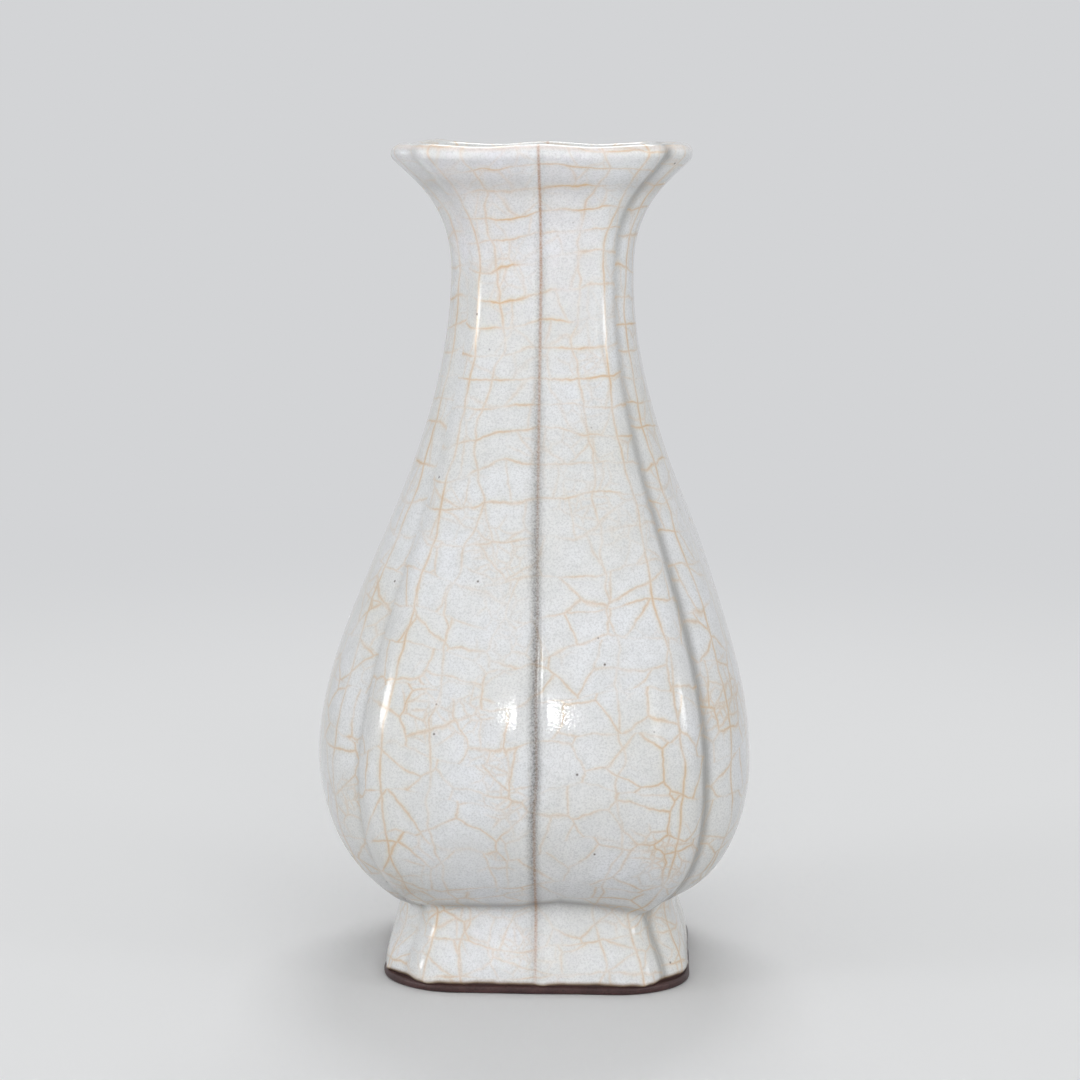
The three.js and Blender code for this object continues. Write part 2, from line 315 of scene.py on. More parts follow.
def glazed_ring(half, height, depth_share, fill):
    """The ring with its folds filled, the distance walked at each point and its hollowness."""
    ring = sharp_ring(half, height, depth_share)
    closed = np.append(ring, ring[0])
    walked = np.concatenate([[0.0], np.cumsum(np.abs(np.diff(closed)))])
    length = walked[-1]
    even = np.arange(RING_SAMPLES) * length / RING_SAMPLES
    wave = np.fft.fft(np.interp(even, walked, closed))
    turns = 2 * math.pi * np.fft.fftfreq(RING_SAMPLES, length / RING_SAMPLES)
    wave *= np.exp(-0.5 * (turns * fill) ** 2)
    smooth = np.fft.ifft(wave)
    ahead = np.fft.ifft(wave * 1j * turns)
    bend = np.fft.ifft(-wave * turns**2)
    outward = -1j * ahead / np.abs(ahead)
    hollow = (bend * np.conj(outward)).real
    point, way_out, hollow = [np.interp(walked[:-1], even, values, period=length)
                              for values in (smooth, outward, hollow)]
    return point - way_out * groove_depth(half, height) * depth_share, walked[:-1], hollow


belly_walk, belly_hollow = glazed_ring(BELLY_HALF, BELLY_Z, 1.0, CORNER_FILL)[1:]
print(f"belly ring {belly_walk[-1]:.0f} mm round, deepest fold {belly_hollow.max():.2f} per mm")

# %% [markdown]
# ## What a hand leaves behind
# A pressed vase is never quite true. This one leans a little, its front is pushed a touch to
# one side, its right wall is fuller at the back, its lip rises and falls, and the seam over
# the foot sags where the belly is heavy. Moving every point by a few slow functions of its
# place gives that, and because all pieces pass through the same functions, their joints stay
# closed.

# %% Lean, push and slow waves
HAND_Z = [0.0, 30.0, 60.0, 117.0, NECK_Z, HEIGHT]
LEAN = [-0.3, -0.8, -1.42, -0.17, 0.88, 0.9]
PUSH = [0.03, 0.042, 0.044, 0.051, 0.037, 0.03]
SLOW_SWELL, SWELL_LENGTH, SWELLS_ROUND = 0.22, 19.0, 3
SWELL_START_UP, SWELL_START_ROUND = 0.7, 1.1
FULLER_Z, FULLER_SPREAD, FULLER_BY = 117.0, 20.0, 1.5
FULLER_FROM, FULLER_FULL = (20.0, 0.0), (34.0, 20.0)
LIP_WAVE, LIP_WAVE_LENGTH = 0.35, 0.88
LIP_WAVE_DEPTH = 12.0
RAISED_CORNER = np.array([-32.0, 33.0])
RAISED_BY, RAISED_SPREAD = 0.9, 4.5
SEAM_ACROSS = [-1.0, -0.85, -0.5, -0.1, 0.2, 0.5, 0.7, 0.9, 1.0]
SEAM_RISE = [-1.0, 0.2, 0.6, 0.8, 2.0, 1.2, 0.2, -1.7, -1.0]
SEAM_SPREAD = 7.0
SEAM_FROM, SEAM_FULL = 24.0, 34.0


def by_hand(points, side_across):
    """Moves points, in mm, as the maker's hands and the kiln did."""
    x, y, z = points[..., 0].copy(), points[..., 1].copy(), points[..., 2].copy()
    lean = np.interp(z, HAND_Z, LEAN)
    push = np.interp(z, HAND_Z, PUSH)
    behind = smoothstep(FULLER_FROM[0], FULLER_FULL[0], x) * smoothstep(FULLER_FROM[1], FULLER_FULL[1], y)
    fuller = FULLER_BY * behind * np.exp(-(((z - FULLER_Z) / FULLER_SPREAD) ** 2))
    slow = SLOW_SWELL * np.sin(z / SWELL_LENGTH + SWELL_START_UP)
    slow = slow * np.sin(np.arctan2(y, x) * SWELLS_ROUND + SWELL_START_ROUND)
    reach_out = np.hypot(x, y) + 1e-6
    near_lip = smoothstep(HEIGHT - LIP_WAVE_DEPTH, HEIGHT, z)
    wave = LIP_WAVE * np.cos(2 * math.pi * side_across / LIP_WAVE_LENGTH) - LIP_WAVE / 2
    corner_off = np.hypot(x - RAISED_CORNER[0], y - RAISED_CORNER[1])
    raised = RAISED_BY * np.exp(-((corner_off / RAISED_SPREAD) ** 2))
    near_seam = np.exp(-(((z - WAIST_Z) / SEAM_SPREAD) ** 2)) * smoothstep(SEAM_FROM, SEAM_FULL, reach_out)
    seam = near_seam * np.interp(side_across, SEAM_ACROSS, SEAM_RISE)
    moved_x = x + lean - push * y + fuller + slow * x / reach_out
    moved_y = y + slow * y / reach_out
    moved_z = z + near_lip * (wave + raised) + seam
    return np.stack([moved_x, moved_y, moved_z], axis=-1)


# %% [markdown]
# ## Where the glaze stops
# The potter wipes the glaze back from the rim so that the vase doesn't stick in the kiln.
# The edge that is left is a rolled bead, a few tenths of a millimetre proud, that wanders up
# and down, and beads hang where a run of glaze reached it. Below it the clay is bare. The
# bead is real relief, so it catches the light as it does on a real foot.

# %% The glaze edge above the rim
EDGE_Z, EDGE_LOWEST = RIM_HEIGHT + 0.40, RIM_HEIGHT + 0.05
EDGE_WANDER = 0.13
EDGE_WAVES = [(11, 1.0, 2.1), (27, 0.6, 1.3), (61, 0.3, 0.0)]
EDGE_ROLL = 0.55
GLAZE_COAT = 0.55
BEADS = [(0, -0.80, 0.55), (0, 0.06, 0.45), (0, 0.83, 0.40), (1, -0.5, 0.35), (1, 0.74, 0.4),
         (2, -0.2, 0.45), (2, 0.80, 0.45), (3, 0.1, 0.4), (3, 0.78, 0.5), (3, -0.77, 0.4)]
BEAD_BREADTH, BEAD_UP, BEAD_TALL, BEAD_SAG = 1.5, 0.35, 0.7, 0.8
EDGE_UNDER, BARE_UNDER, BARE_OVER = 0.30, 0.25, 0.20
COAT_FROM, COAT_TO = 8.0, 12.0


def glaze_edge(side, side_across, half):
    """Height of the glaze edge round the foot, and how far its beads stand out."""
    turn = 2 * math.pi * (side + (side_across + 1) / 2) / 4
    wander = sum(size * np.sin(count * turn + start) for count, size, start in EDGE_WAVES)
    edge = EDGE_Z + EDGE_WANDER * wander
    proud = np.zeros_like(turn)
    for bead_side, place, size in BEADS:
        bead = size * np.exp(-(((side_across - place) * half / BEAD_BREADTH) ** 2)) * (side == bead_side)
        proud += bead
        edge -= bead * BEAD_SAG
    return np.maximum(edge, EDGE_LOWEST), proud


# %% [markdown]
# ## The skin of the vase
# Foot, wall, lip and inside are laid out as one continuous grid before they are cut into
# pieces. That lets the normals be worked out over the joints, so the pieces meet without a
# visible seam although each is a closed body of its own. Along with its place, every point
# gets plain measures in millimetres that the glaze will read: how far round its side it is,
# how far up the wall, how close to a fold.

# %% Lay out the grid
INNER_GROOVE = 0.5
LIP_FILL = 1.4
RING = 4 * SIDE_CELLS
side_of = np.repeat(np.arange(4), SIDE_CELLS)
across_of = np.tile(across, 4)


def lay_rows(profile, groove_shares, fill, walk):
    """Rows of the grid: points, girth from mid-side, distances to fold and groove, hollow and climb."""
    points, girth, fold, groove, hollows = [], [], [], [], []
    for (half, height), groove_share in zip(profile, groove_shares):
        ring, round_walk, hollow = glazed_ring(half, height, groove_share, fill)
        middle = round_walk[np.arange(4) * SIDE_CELLS + SIDE_CELLS // 2]
        local = round_walk - np.repeat(middle, SIDE_CELLS)
        half_side = np.repeat(middle - round_walk[np.arange(4) * SIDE_CELLS], SIDE_CELLS)
        points.append(np.column_stack([ring.real, ring.imag, np.full(RING, height)]))
        girth.append(local)
        fold.append(half_side - np.abs(local))
        groove.append(from_groove(half, height))
        hollows.append(hollow)
    climb = np.repeat(np.asarray(walk)[:, None], RING, axis=1)
    return [np.array(rows) for rows in (points, girth, fold, groove, hollows)] + [climb]


wall_top_walk = wall_walk[-1]
lip_walk = wall_top_walk + LIP_RADIUS * (lip_angles - lip_start)
inner_walk = lip_walk[-1] + along_line(wall_inner[::-1]) + LIP_RADIUS * math.pi / LIP_ROWS
lip_fade = 1 - (1 - INNER_GROOVE) * np.arange(1, LIP_ROWS) / LIP_ROWS
outer_part = lay_rows(np.vstack([foot_outer, wall_outer[1:]]), np.ones(FOOT_ROWS + WALL_ROWS + 1),
                      CORNER_FILL, np.concatenate([foot_walk, wall_walk[1:]]))
lip_part = lay_rows(lip_rows, lip_fade, LIP_FILL, lip_walk)
inner_part = lay_rows(wall_inner[::-1], np.full(len(wall_inner), INNER_GROOVE), INSIDE_FILL, inner_walk)
skin = [np.concatenate(parts) for parts in zip(outer_part, lip_part, inner_part)]
points, girth, fold, groove_off, hollow, climb = skin
print(f"grid of {points.shape[0]} rows and {points.shape[1]} points round")

# %% [markdown]
# ## Painted shade in the crease and folds, and a rolled edge
# Painted shade is added to the hollow measure over the crease, where it darkens the underside
# of the belly, and along the folds on the right, where it darkens the side that gets less
# light. On the foot the coat ends at the edge from above: below it every point is drawn back to
# the clay, and the beads stand out. Then the whole grid takes what the hand left behind.

# %% Add painted shade, roll the edge and bend the grid
CREASE_SHADE, CREASE_UP, CREASE_BREADTH = 0.22, 2.4, 3.8
RIGHT_FOLD_SHADE, RIGHT_SHADE_REACH, RIGHT_SHADE_RAMP = 0.14, 3.5, 20.0
FAR_OFF = 50.0
# Painted shade: over the crease under the belly, then down the folds on the right
hollow = hollow + CREASE_SHADE * np.exp(-(((climb - waist_at - CREASE_UP) / CREASE_BREADTH) ** 2))
right_fold_shade = smoothstep(0.0, RIGHT_SHADE_RAMP, points[..., 0]) * np.exp(-((fold / RIGHT_SHADE_REACH) ** 2))
hollow = hollow + RIGHT_FOLD_SHADE * right_fold_shade

edge_z, proud = glaze_edge(side_of, across_of, FOOT_HALF)
height_of = points[..., 2]
coat = smoothstep(-EDGE_UNDER, EDGE_ROLL, height_of - edge_z)
bead_here = proud * np.exp(-(((height_of - edge_z - BEAD_UP) / BEAD_TALL) ** 2))
low_down = 1 - smoothstep(COAT_FROM, COAT_TO, height_of)
step_out = (GLAZE_COAT * (coat - 1) + bead_here) * low_down
outside_rows = np.arange(len(points)) <= FOOT_ROWS
step_out = step_out * outside_rows[:, None]
ring_out = points[..., :2] / np.linalg.norm(points[..., :2], axis=-1, keepdims=True)
points[..., :2] += ring_out * step_out[..., None]
bare = (1 - smoothstep(-BARE_UNDER, BARE_OVER, height_of - edge_z)) * outside_rows[:, None]
above_edge = np.where(outside_rows[:, None], height_of - edge_z, FAR_OFF)
points = by_hand(points, across_of)
print(f"beads stand up to {proud.max():.2f} mm out, the edge is at {edge_z.mean():.2f} mm")

# %% [markdown]
# ## Normals over the joints
# A normal is square to two directions on the surface. Along the ring and up the wall those
# come from the neighbours in the grid, so the cross product of the two is the normal, also
# where two pieces meet.

# %% Work out the normals
def grid_normals(grid):
    """Unit normals of a grid that closes on itself along its second axis."""
    climb_way = np.gradient(grid, axis=0)
    ring_way = np.roll(grid, -1, axis=1) - np.roll(grid, 1, axis=1)
    square = np.cross(ring_way, climb_way)
    return square / np.maximum(np.linalg.norm(square, axis=-1, keepdims=True), 1e-9)


normals = grid_normals(points)
print("front of the belly faces", normals[FOOT_ROWS + WALL_ROWS // 3, SIDE_CELLS // 4].round(2))

# %% [markdown]
# ## Where the stain took
# Iron stain sinks deepest where the glaze is strained: along the shoulders beside each fold,
# in the foot and round the mouth. It's faint on the middle of a side. That is a slow map
# over the whole vase, so it's worked out here, point by point, and carried by the mesh, while
# the fine cracks themselves come later from textures.

# %% Map of the stain
STRAINED_AT, STRAINED_SPREAD = 11.0, 11.0
FAINT, STRONG = 0.62, 1.0
RIGHT_FRONT_MORE, MOUTH_MORE = 0.3, 0.3
RIGHT_FROM, RIGHT_FULL, RIGHT_BELOW_NECK = -10.0, 30.0, 60.0
MOUTH_FROM, MOUTH_FULL = 5.0, 28.0
NECK_CLIMB = wall_walk[np.argmin(np.abs(wall_outer[:, 1] - NECK_Z))]
BELLY_CLIMB = wall_walk[np.argmin(np.abs(wall_outer[:, 1] - BELLY_Z))]

strained = np.exp(-(((fold - STRAINED_AT) / STRAINED_SPREAD) ** 2))
right_front = smoothstep(RIGHT_FROM, RIGHT_FULL, girth) * (side_of == 0)
right_front = right_front * (1 - smoothstep(NECK_CLIMB - RIGHT_BELOW_NECK, NECK_CLIMB, climb))
mouth = smoothstep(NECK_CLIMB + MOUTH_FROM, NECK_CLIMB + MOUTH_FULL, climb)
more = strained + RIGHT_FRONT_MORE * right_front + MOUTH_MORE * mouth
print(f"belly is {BELLY_CLIMB:.0f} mm up the wall and the neck {NECK_CLIMB:.0f} mm")

# %% [markdown]
# ## What the mesh tells the glaze
# The groove gets painted shade, partly grey pooled glaze, sharp on the belly, and it's stained
# on the neck. The glaze is thinnest on the lip, and a band just under it gets painted shade.
# The level rows of cracks stand closer on the neck than on the belly, so rows are counted up
# the wall by their own height there. All of that is told to the glaze as one number for each
# point.

# %% Measures of every point
LIP_THINNEST, LIP_BAND = 0.46, 0.5
LIP_CLIMB = wall_top_walk + LIP_RADIUS * math.pi * LIP_THINNEST
# A band of painted shade just under the lip, where the flaring mouth faces down
UNDER_LIP, UNDER_LIP_BAND = 9.0, 3.2
GROOVE_CLIMB = [0, waist_at, BELLY_CLIMB - 20, BELLY_CLIMB, BELLY_CLIMB + 60, BELLY_CLIMB + 90,
                NECK_CLIMB, LIP_CLIMB - 12, LIP_CLIMB]
GROOVE_STAIN = [0.3, 0.8, 0.5, 0.25, 0.15, 0.5, 0.75, 0.9, 0.7]
GROOVE_SHADE = [0.1, 0.45, 0.8, 1.0, 0.85, 0.6, 0.4, 0.1, 0.05]
ROW_CLIMB = [0, waist_at, BELLY_CLIMB, BELLY_CLIMB + 70, NECK_CLIMB, LIP_CLIMB]
ROW_TALL = [9.0, 11.0, 14.0, 9.0, 7.0, 7.5]
CELL_TALL = [11.0, 11.0, 12.0, 18.0, 26.0, 20.0]

row_tall, cell_tall = [np.interp(climb[:, 0], ROW_CLIMB, tall) for tall in (ROW_TALL, CELL_TALL)]
rows_up, cells_up = [np.concatenate([[0.0], np.cumsum(np.diff(climb[:, 0]) / tall[1:])])
                     for tall in (row_tall, cell_tall)]
skin_measures = {
    "girth": girth,
    "climb": climb,
    "fold": fold,
    "hollow": hollow,
    "bare": bare,
    "above_edge": above_edge,
    "groove_off": groove_off,
    "row": np.repeat(rows_up[:, None], RING, axis=1),
    "row_tall": np.repeat(row_tall[:, None], RING, axis=1),
    "cell": np.repeat(cells_up[:, None], RING, axis=1),
    "stained": FAINT + (STRONG - FAINT) * np.clip(more, 0, 1),
    "groove": np.interp(climb, GROOVE_CLIMB, GROOVE_STAIN),
    "shade": np.interp(climb, GROOVE_CLIMB, GROOVE_SHADE),
    "lip": np.exp(-(((climb - LIP_CLIMB) / LIP_BAND) ** 2)),
    "under_lip": np.exp(-(((climb - (wall_top_walk - UNDER_LIP)) / UNDER_LIP_BAND) ** 2)),
}
print(f"{len(skin_measures)} measures, {rows_up[FOOT_ROWS + WALL_ROWS]:.0f} rows of cracks up the vase")

# %% [markdown]
# ## From a grid to a mesh
# Blender builds a mesh from two plain lists: the places, and the faces as numbers of places.
# A grid needs a four-sided face for each step along its rows and columns, and more of them
# where it closes on itself. The measures go along as attributes, which a material can read.

# %% Functions that build a mesh
def grid_faces(rows, columns, rows_close, columns_close):
    """Four-sided faces of a grid, also from its last row or column to its first where it closes."""
    row, column = np.meshgrid(np.arange(rows - 1 + rows_close), np.arange(columns - 1 + columns_close),
                              indexing="ij")
    above, beside = (row + 1) % rows, (column + 1) % columns
    return np.stack([row * columns + column, row * columns + beside,
                     above * columns + beside, above * columns + column], axis=-1).reshape(-1, 4).tolist()


def new_piece(name, places, faces, measures):
    """A mesh object of that name from places in mm, faces, and the measures of each point."""
    mesh = bpy.data.meshes.new(name)
    mesh.from_pydata((places.reshape(-1, 3) * MM).tolist(), [], faces)
    for label, values in measures.items():
        layer = mesh.attributes.new(label, "FLOAT", "POINT")
        layer.data.foreach_set("value", values.reshape(-1).astype(np.float32))
    piece = bpy.data.objects.new(name, mesh)
    bpy.context.scene.collection.objects.link(piece)
    return piece


# %% [markdown]
# ## Closed pieces
# Every piece goes to the workshop as a solid, so each is a closed body: up the outside, over
# the lip, down the inside and shut at the joints. A ribbon of the grid gives the surfaces,
# and each joint face is closed by small polygons that span one inside step and four outside
# ones. The grid's normals are set on the surfaces, and the joint faces keep flat ones.

# %% A function that builds one closed piece
def closed_piece(name, loops, loop_normals, joints, measures, flat_rows=()):
    """A closed body from loops[row, column], joined round its rows, with polygons at both ends."""
    rows, columns = loops.shape[:2]
    quads = grid_faces(rows, columns, rows_close=True, columns_close=False)
    left = [[r * columns for r in polygon] for polygon in joints]
    right = [[r * columns + columns - 1 for r in reversed(polygon)] for polygon in joints]
    piece = new_piece(name, loops, quads + left + right, measures)
    mesh = piece.data
    mesh.polygons.foreach_set("use_smooth", np.ones(len(mesh.polygons), bool))
    corner_vertex = np.zeros(len(mesh.loops), np.int32)
    mesh.loops.foreach_get("vertex_index", corner_vertex)
    corner_normals = loop_normals.reshape(-1, 3)[corner_vertex]
    face_normals = np.zeros(len(mesh.polygons) * 3, np.float32)
    mesh.polygons.foreach_get("normal", face_normals)
    sizes = np.zeros(len(mesh.polygons), np.int32)
    mesh.polygons.foreach_get("loop_total", sizes)
    flat = np.arange(len(mesh.polygons)) >= len(quads)
    for flat_row in flat_rows:
        flat[flat_row * (columns - 1):(flat_row + 1) * (columns - 1)] = True
    flat_corner = np.repeat(flat, sizes)
    corner_normals[flat_corner] = np.repeat(face_normals.reshape(-1, 3), sizes, axis=0)[flat_corner]
    mesh.normals_split_custom_set(corner_normals.tolist())
    return piece


def joint_polygons(outer_count, top_rows, inner_count):
    """Row numbers of the polygons that close a joint face, for a loop of outside, top and inside."""
    last = outer_count + top_rows + inner_count - 1
    polygons = []
    for step in range(inner_count - 1):
        start = step * MATE_EVERY
        outside = list(range(start, start + MATE_EVERY + 1))
        polygons.append(outside + [last - step - 1, last - step])
    if top_rows:
        polygons.append(list(range(outer_count - 1, outer_count + top_rows + 1)))
    return polygons


# %% [markdown]
# ## Four walls
# Each wall takes a quarter of the grid's columns and one more, which it shares with its
# neighbour, so the two meet along the fold with no gap.

# %% Cut the grid into walls
SIDES = ("front", "right", "back", "left")
waist_row = FOOT_ROWS
wall_rows = np.arange(waist_row, len(points))


def side_columns(side):
    """Columns of one side, with the first column of the next side at the end."""
    return np.arange(side * SIDE_CELLS, (side + 1) * SIDE_CELLS + 1) % RING


def measures_for(rows, columns, side):
    """The measures of a part of the grid. Its last column counts its girth as the first does."""
    part = {label: values[np.ix_(rows, columns)] for label, values in skin_measures.items()}
    part["girth"][:, -1] = -part["girth"][:, 0]
    part["side"] = np.full(part["girth"].shape, float(side))
    return part


walls = []
wall_joints = joint_polygons(WALL_ROWS + 1, LIP_ROWS - 1, len(wall_inner))
for side, side_name in enumerate(SIDES):
    columns = side_columns(side)
    part = np.ix_(wall_rows, columns)
    wall = closed_piece(f"glazed_wall_{side_name}", points[part], normals[part], wall_joints,
                        measures_for(wall_rows, columns, side), flat_rows=[len(wall_rows) - 1])
    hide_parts(f"wall_{side_name}")
    walls.append(wall)
print(f"each wall has {len(walls[0].data.vertices)} points")

# %% [markdown]
# ## Four foot walls
# The outside of a foot wall is already in the grid. Its inside leans the same way and is
# hidden unless the vase is lifted, so it's plain, with corners softened by slip. A surface
# that hardly shows gets plain measures, apart from its place on the vase.

# %% Foot walls
WIPED_UP = 2.0
INSIDE_CLIMB = 400.0
PLAIN = {"girth": 0.0, "climb": 0.0, "fold": FAR_OFF, "hollow": 0.0, "bare": 0.0, "above_edge": FAR_OFF,
         "groove_off": FAR_OFF, "row": 0.5, "row_tall": 9.0, "cell": 0.5, "stained": FAINT, "groove": 0.0,
         "shade": 0.0, "lip": 0.0, "under_lip": 0.0, "side": 0.0}


def hidden_measures(shape, **given):
    """Measures of a surface that hardly shows: plain glaze, apart from what is given."""
    plain = {label: np.full(shape, value) for label, value in PLAIN.items()}
    return {**plain, **given}


foot_rows = np.arange(0, waist_row + 1)
true_points, inner_girth, *_, inner_climb = lay_rows(foot_inner[::-1], np.zeros(len(foot_inner)),
                                                     INSIDE_FILL, along_line(foot_inner))
inner_points = by_hand(true_points, across_of)
inner_normals = grid_normals(inner_points)
foot_joints = joint_polygons(FOOT_ROWS + 1, 0, len(foot_inner))
feet = []
for side, side_name in enumerate(SIDES):
    columns = side_columns(side)
    part = np.ix_(foot_rows, columns)
    inside = np.ix_(np.arange(len(foot_inner)), columns)
    measures = measures_for(foot_rows, columns, side)
    wiped = 1 - smoothstep(RIM_HEIGHT, RIM_HEIGHT + WIPED_UP, true_points[inside][..., 2])
    hidden = hidden_measures(wiped.shape, girth=inner_girth[inside], bare=wiped,
                             climb=INSIDE_CLIMB + inner_climb[inside])
    foot = closed_piece(f"glazed_foot_{side_name}",
                        np.concatenate([points[part], inner_points[inside]]),
                        np.concatenate([normals[part], inner_normals[inside]]), foot_joints,
                        {label: np.concatenate([measures[label], hidden[label]]) for label in measures},
                        flat_rows=[FOOT_ROWS, FOOT_ROWS + len(foot_inner)])
    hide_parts(f"foot_{side_name}")
    feet.append(foot)
print(f"each foot wall has {len(feet[0].data.vertices)} points")

# %% [markdown]
# ## The floor slab
# The floor is a tile set in between the walls. It's built as rings that step from the middle
# of its underside out to the edge, up and back to the middle of the top, with the top dished
# by a millimetre, as a pressed tile dries.

# %% Floor slab
SLAB_BOTTOM, SLAB_TOP = slab_low[2], slab_high[2]
SLAB_CLEAR = 0.05
SLAB_DISH = 1.0
SLAB_RINGS, SLAB_MIDDLE = 10, 0.04
SLAB_EDGE_ROWS = 4
SEAT_ROWS = 12
seat_half, seat_z = wall_inner[:SEAT_ROWS].T


def slab_ring(height, share):
    """A ring of the slab: the walls' inside outline at that height, drawn in to a share of it."""
    half = np.interp(height, seat_z, seat_half)
    ring = glazed_ring(half, height, INNER_GROOVE, INSIDE_FILL)[0] * (1 - SLAB_CLEAR / half)
    return ring * share


def slab_rows():
    """Rings from the middle of the underside, round the edge, to the middle of the top."""
    rows = []
    for share in np.linspace(SLAB_MIDDLE, 1, SLAB_RINGS):
        rows.append((slab_ring(SLAB_BOTTOM, share), np.full(RING, SLAB_BOTTOM)))
    for share in np.linspace(0, 1, SLAB_EDGE_ROWS + 2)[1:-1]:
        height = SLAB_BOTTOM + (SLAB_TOP - SLAB_BOTTOM) * share
        rows.append((slab_ring(height, 1.0), np.full(RING, height)))
    for share in np.linspace(1, SLAB_MIDDLE, SLAB_RINGS):
        dished = SLAB_TOP - SLAB_DISH * (1 - share**2)
        rows.append((slab_ring(SLAB_TOP, share), np.full(RING, dished)))
    return np.array([np.column_stack([ring.real, ring.imag, z]) for ring, z in rows])


rings = by_hand(slab_rows(), across_of)
rows, around = rings.shape[:2]
faces = grid_faces(rows, around, rows_close=False, columns_close=True)
bottom_cap = list(range(around))[::-1]
top_cap = list(range((rows - 1) * around, rows * around))
slab_measures = hidden_measures((rows, around), girth=rings[..., 0], climb=INSIDE_CLIMB + rings[..., 1])
slab = new_piece("glazed_floor", rings, faces + [bottom_cap, top_cap], slab_measures)
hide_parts("floor_slab")
print(f"floor slab from {SLAB_BOTTOM:.1f} to {SLAB_TOP:.1f} mm")

# %% [markdown]
# ## The bare rim
# The rim is a flat band on a rounded square, cut and smoothed with a wet finger. It could be
# a box with rounded edges, but its two shapes are clearer apart: a small section with eased
# edges, and the rounded square that the section is carried round.

# %% Section and outline of the rim
RIM_CORNER = 20.0
RIM_TUCK = 0.6
RIM_WIDTH = 7.0
RIM_EASE = 0.8
EASE_ROWS = 5


def rim_section():
    """Closed section of the rim as pairs of inset from the outer face and height."""
    corners = [(RIM_EASE, RIM_EASE, 180), (RIM_EASE, RIM_HEIGHT - RIM_EASE, 90),
               (RIM_WIDTH - RIM_EASE, RIM_HEIGHT - RIM_EASE, 0), (RIM_WIDTH - RIM_EASE, RIM_EASE, -90)]
    section = []
    for inset, height, first in corners:
        for step in range(EASE_ROWS):
            angle = math.radians(first + 90 - 90 * step / (EASE_ROWS - 1))
            section.append((inset + RIM_EASE * math.cos(angle), height + RIM_EASE * math.sin(angle)))
    return np.array(section)


def rounded_square(inset, turn):
    """A point of the rim's outline drawn in by an inset, for each turn angle of its normal."""
    corner = RIM_CORNER - inset
    flat = RIM_HALF - RIM_TUCK - RIM_CORNER
    quarter = np.floor(turn / (math.pi / 2))
    within = turn / (math.pi / 2) - quarter
    straight, arc = 2 * flat, RIM_CORNER * math.pi / 2
    walk = within * (straight + arc)
    along = np.minimum(walk, straight) - flat
    angle = np.clip((walk - straight) / RIM_CORNER, 0, math.pi / 2)
    x = np.where(walk < straight, along, flat + corner * np.sin(angle))
    y = np.where(walk < straight, -(flat + corner), -(flat + corner * np.cos(angle)))
    return (x + 1j * y) * 1j**quarter


print(f"rim section has {len(rim_section())} points")

# %% [markdown]
# Each point of the section draws one loop round the square, and neighbouring loops are joined
# by faces. A slow wobble of about a tenth of a millimetre keeps the rim from looking turned on
# a lathe. The section's top meets the underside of the foot walls.

# %% Sweep the rim
RIM_STATIONS = 480
RIM_WOBBLE = 0.12
RIM_WAVES = [(5, 1.0, 0.4), (13, 0.5, 2.0)]

turns = np.arange(RIM_STATIONS) * 2 * math.pi / RIM_STATIONS
wobble = RIM_WOBBLE * sum(size * np.sin(count * turns + start) for count, size, start in RIM_WAVES)
rim_loops = []
for inset, height in rim_section():
    outline = rounded_square(inset, turns)
    outline += outline / np.abs(outline) * (wobble * (1 - inset / RIM_WIDTH))
    rim_loops.append(np.column_stack([outline.real, outline.imag, np.full(len(turns), height)]))
rim_loops = by_hand(np.array(rim_loops), np.zeros(len(turns)))
faces = grid_faces(len(rim_loops), len(turns), rows_close=True, columns_close=True)
rim = new_piece("bare_rim", rim_loops, faces, {})
rim.data.polygons.foreach_set("use_smooth", np.ones(len(faces), bool))
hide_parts("foot_rim")
print(f"rim {2 * RIM_HALF:.0f} mm square, {RIM_HEIGHT:.1f} mm high")

# %% [markdown]
# ## Colours and nodes
# Colours are picked as they look on a screen, in sRGB, but light adds up in linear values,
# so one function turns a hex colour to linear. A material is a chain of nodes, and one more
# function adds a node, sets it and links it. Patterns are placed in millimetres, so that each
# keeps its real size.

# %% Helpers for materials
def linear(hex_colour):
    """An sRGB hex colour as linear red, green, blue and alpha."""
    parts = [int(hex_colour[place:place + 2], 16) / 255 for place in (1, 3, 5)]
    return tuple(c / 12.92 if c <= 0.04045 else ((c + 0.055) / 1.055) ** 2.4 for c in parts) + (1.0,)


def add(tree, kind, inputs=None, **settings):
    """Adds a node, sets its properties, and links or fills its inputs."""
    made = tree.nodes.new(kind)
    for name, value in settings.items():
        setattr(made, name, value)
    for key, value in (inputs or {}).items():
        if isinstance(value, bpy.types.NodeSocket):
            tree.links.new(value, made.inputs[key])
        else:
            made.inputs[key].default_value = value
    return made


def empty_nodes(owner):
    """The node tree of a material or of the world, with nothing in it yet."""
    owner.use_nodes = True
    owner.node_tree.nodes.clear()
    return owner.node_tree


def place_in_mm(tree):
    """The place on a piece, in millimetres."""
    place = add(tree, "ShaderNodeTexCoord").outputs["Object"]
    return add(tree, "ShaderNodeVectorMath", {0: place, "Scale": 1 / MM}, operation="SCALE").outputs[0]


# %% [markdown]
# ## How crackle forms
# The glaze shrinks more than the clay as the kiln cools, so it cracks. The first cracks run
# round the neck and up the vase. Later ones end square on them, in T-shapes, and the last and
# finest fill small patches. The potter stains them with iron. A Voronoi texture gives cells
# whose edges look like cracks, but a single one has no T-shapes. Here each level of cells is
# shifted by its own parent cell, so its cracks stop at the parent's, as real ones do.

# %% Crackle, level by level
# Cell width in mm, strength, and where in the patches the level begins and is full
CRACK_LEVELS = [(12.5, 0.85, 0.0, 0.01), (6.5, 0.5, 0.50, 0.60), (3.3, 0.45, 0.62, 0.70)]
SHIFT_SPAN = (37.0, 23.0, 0.0)


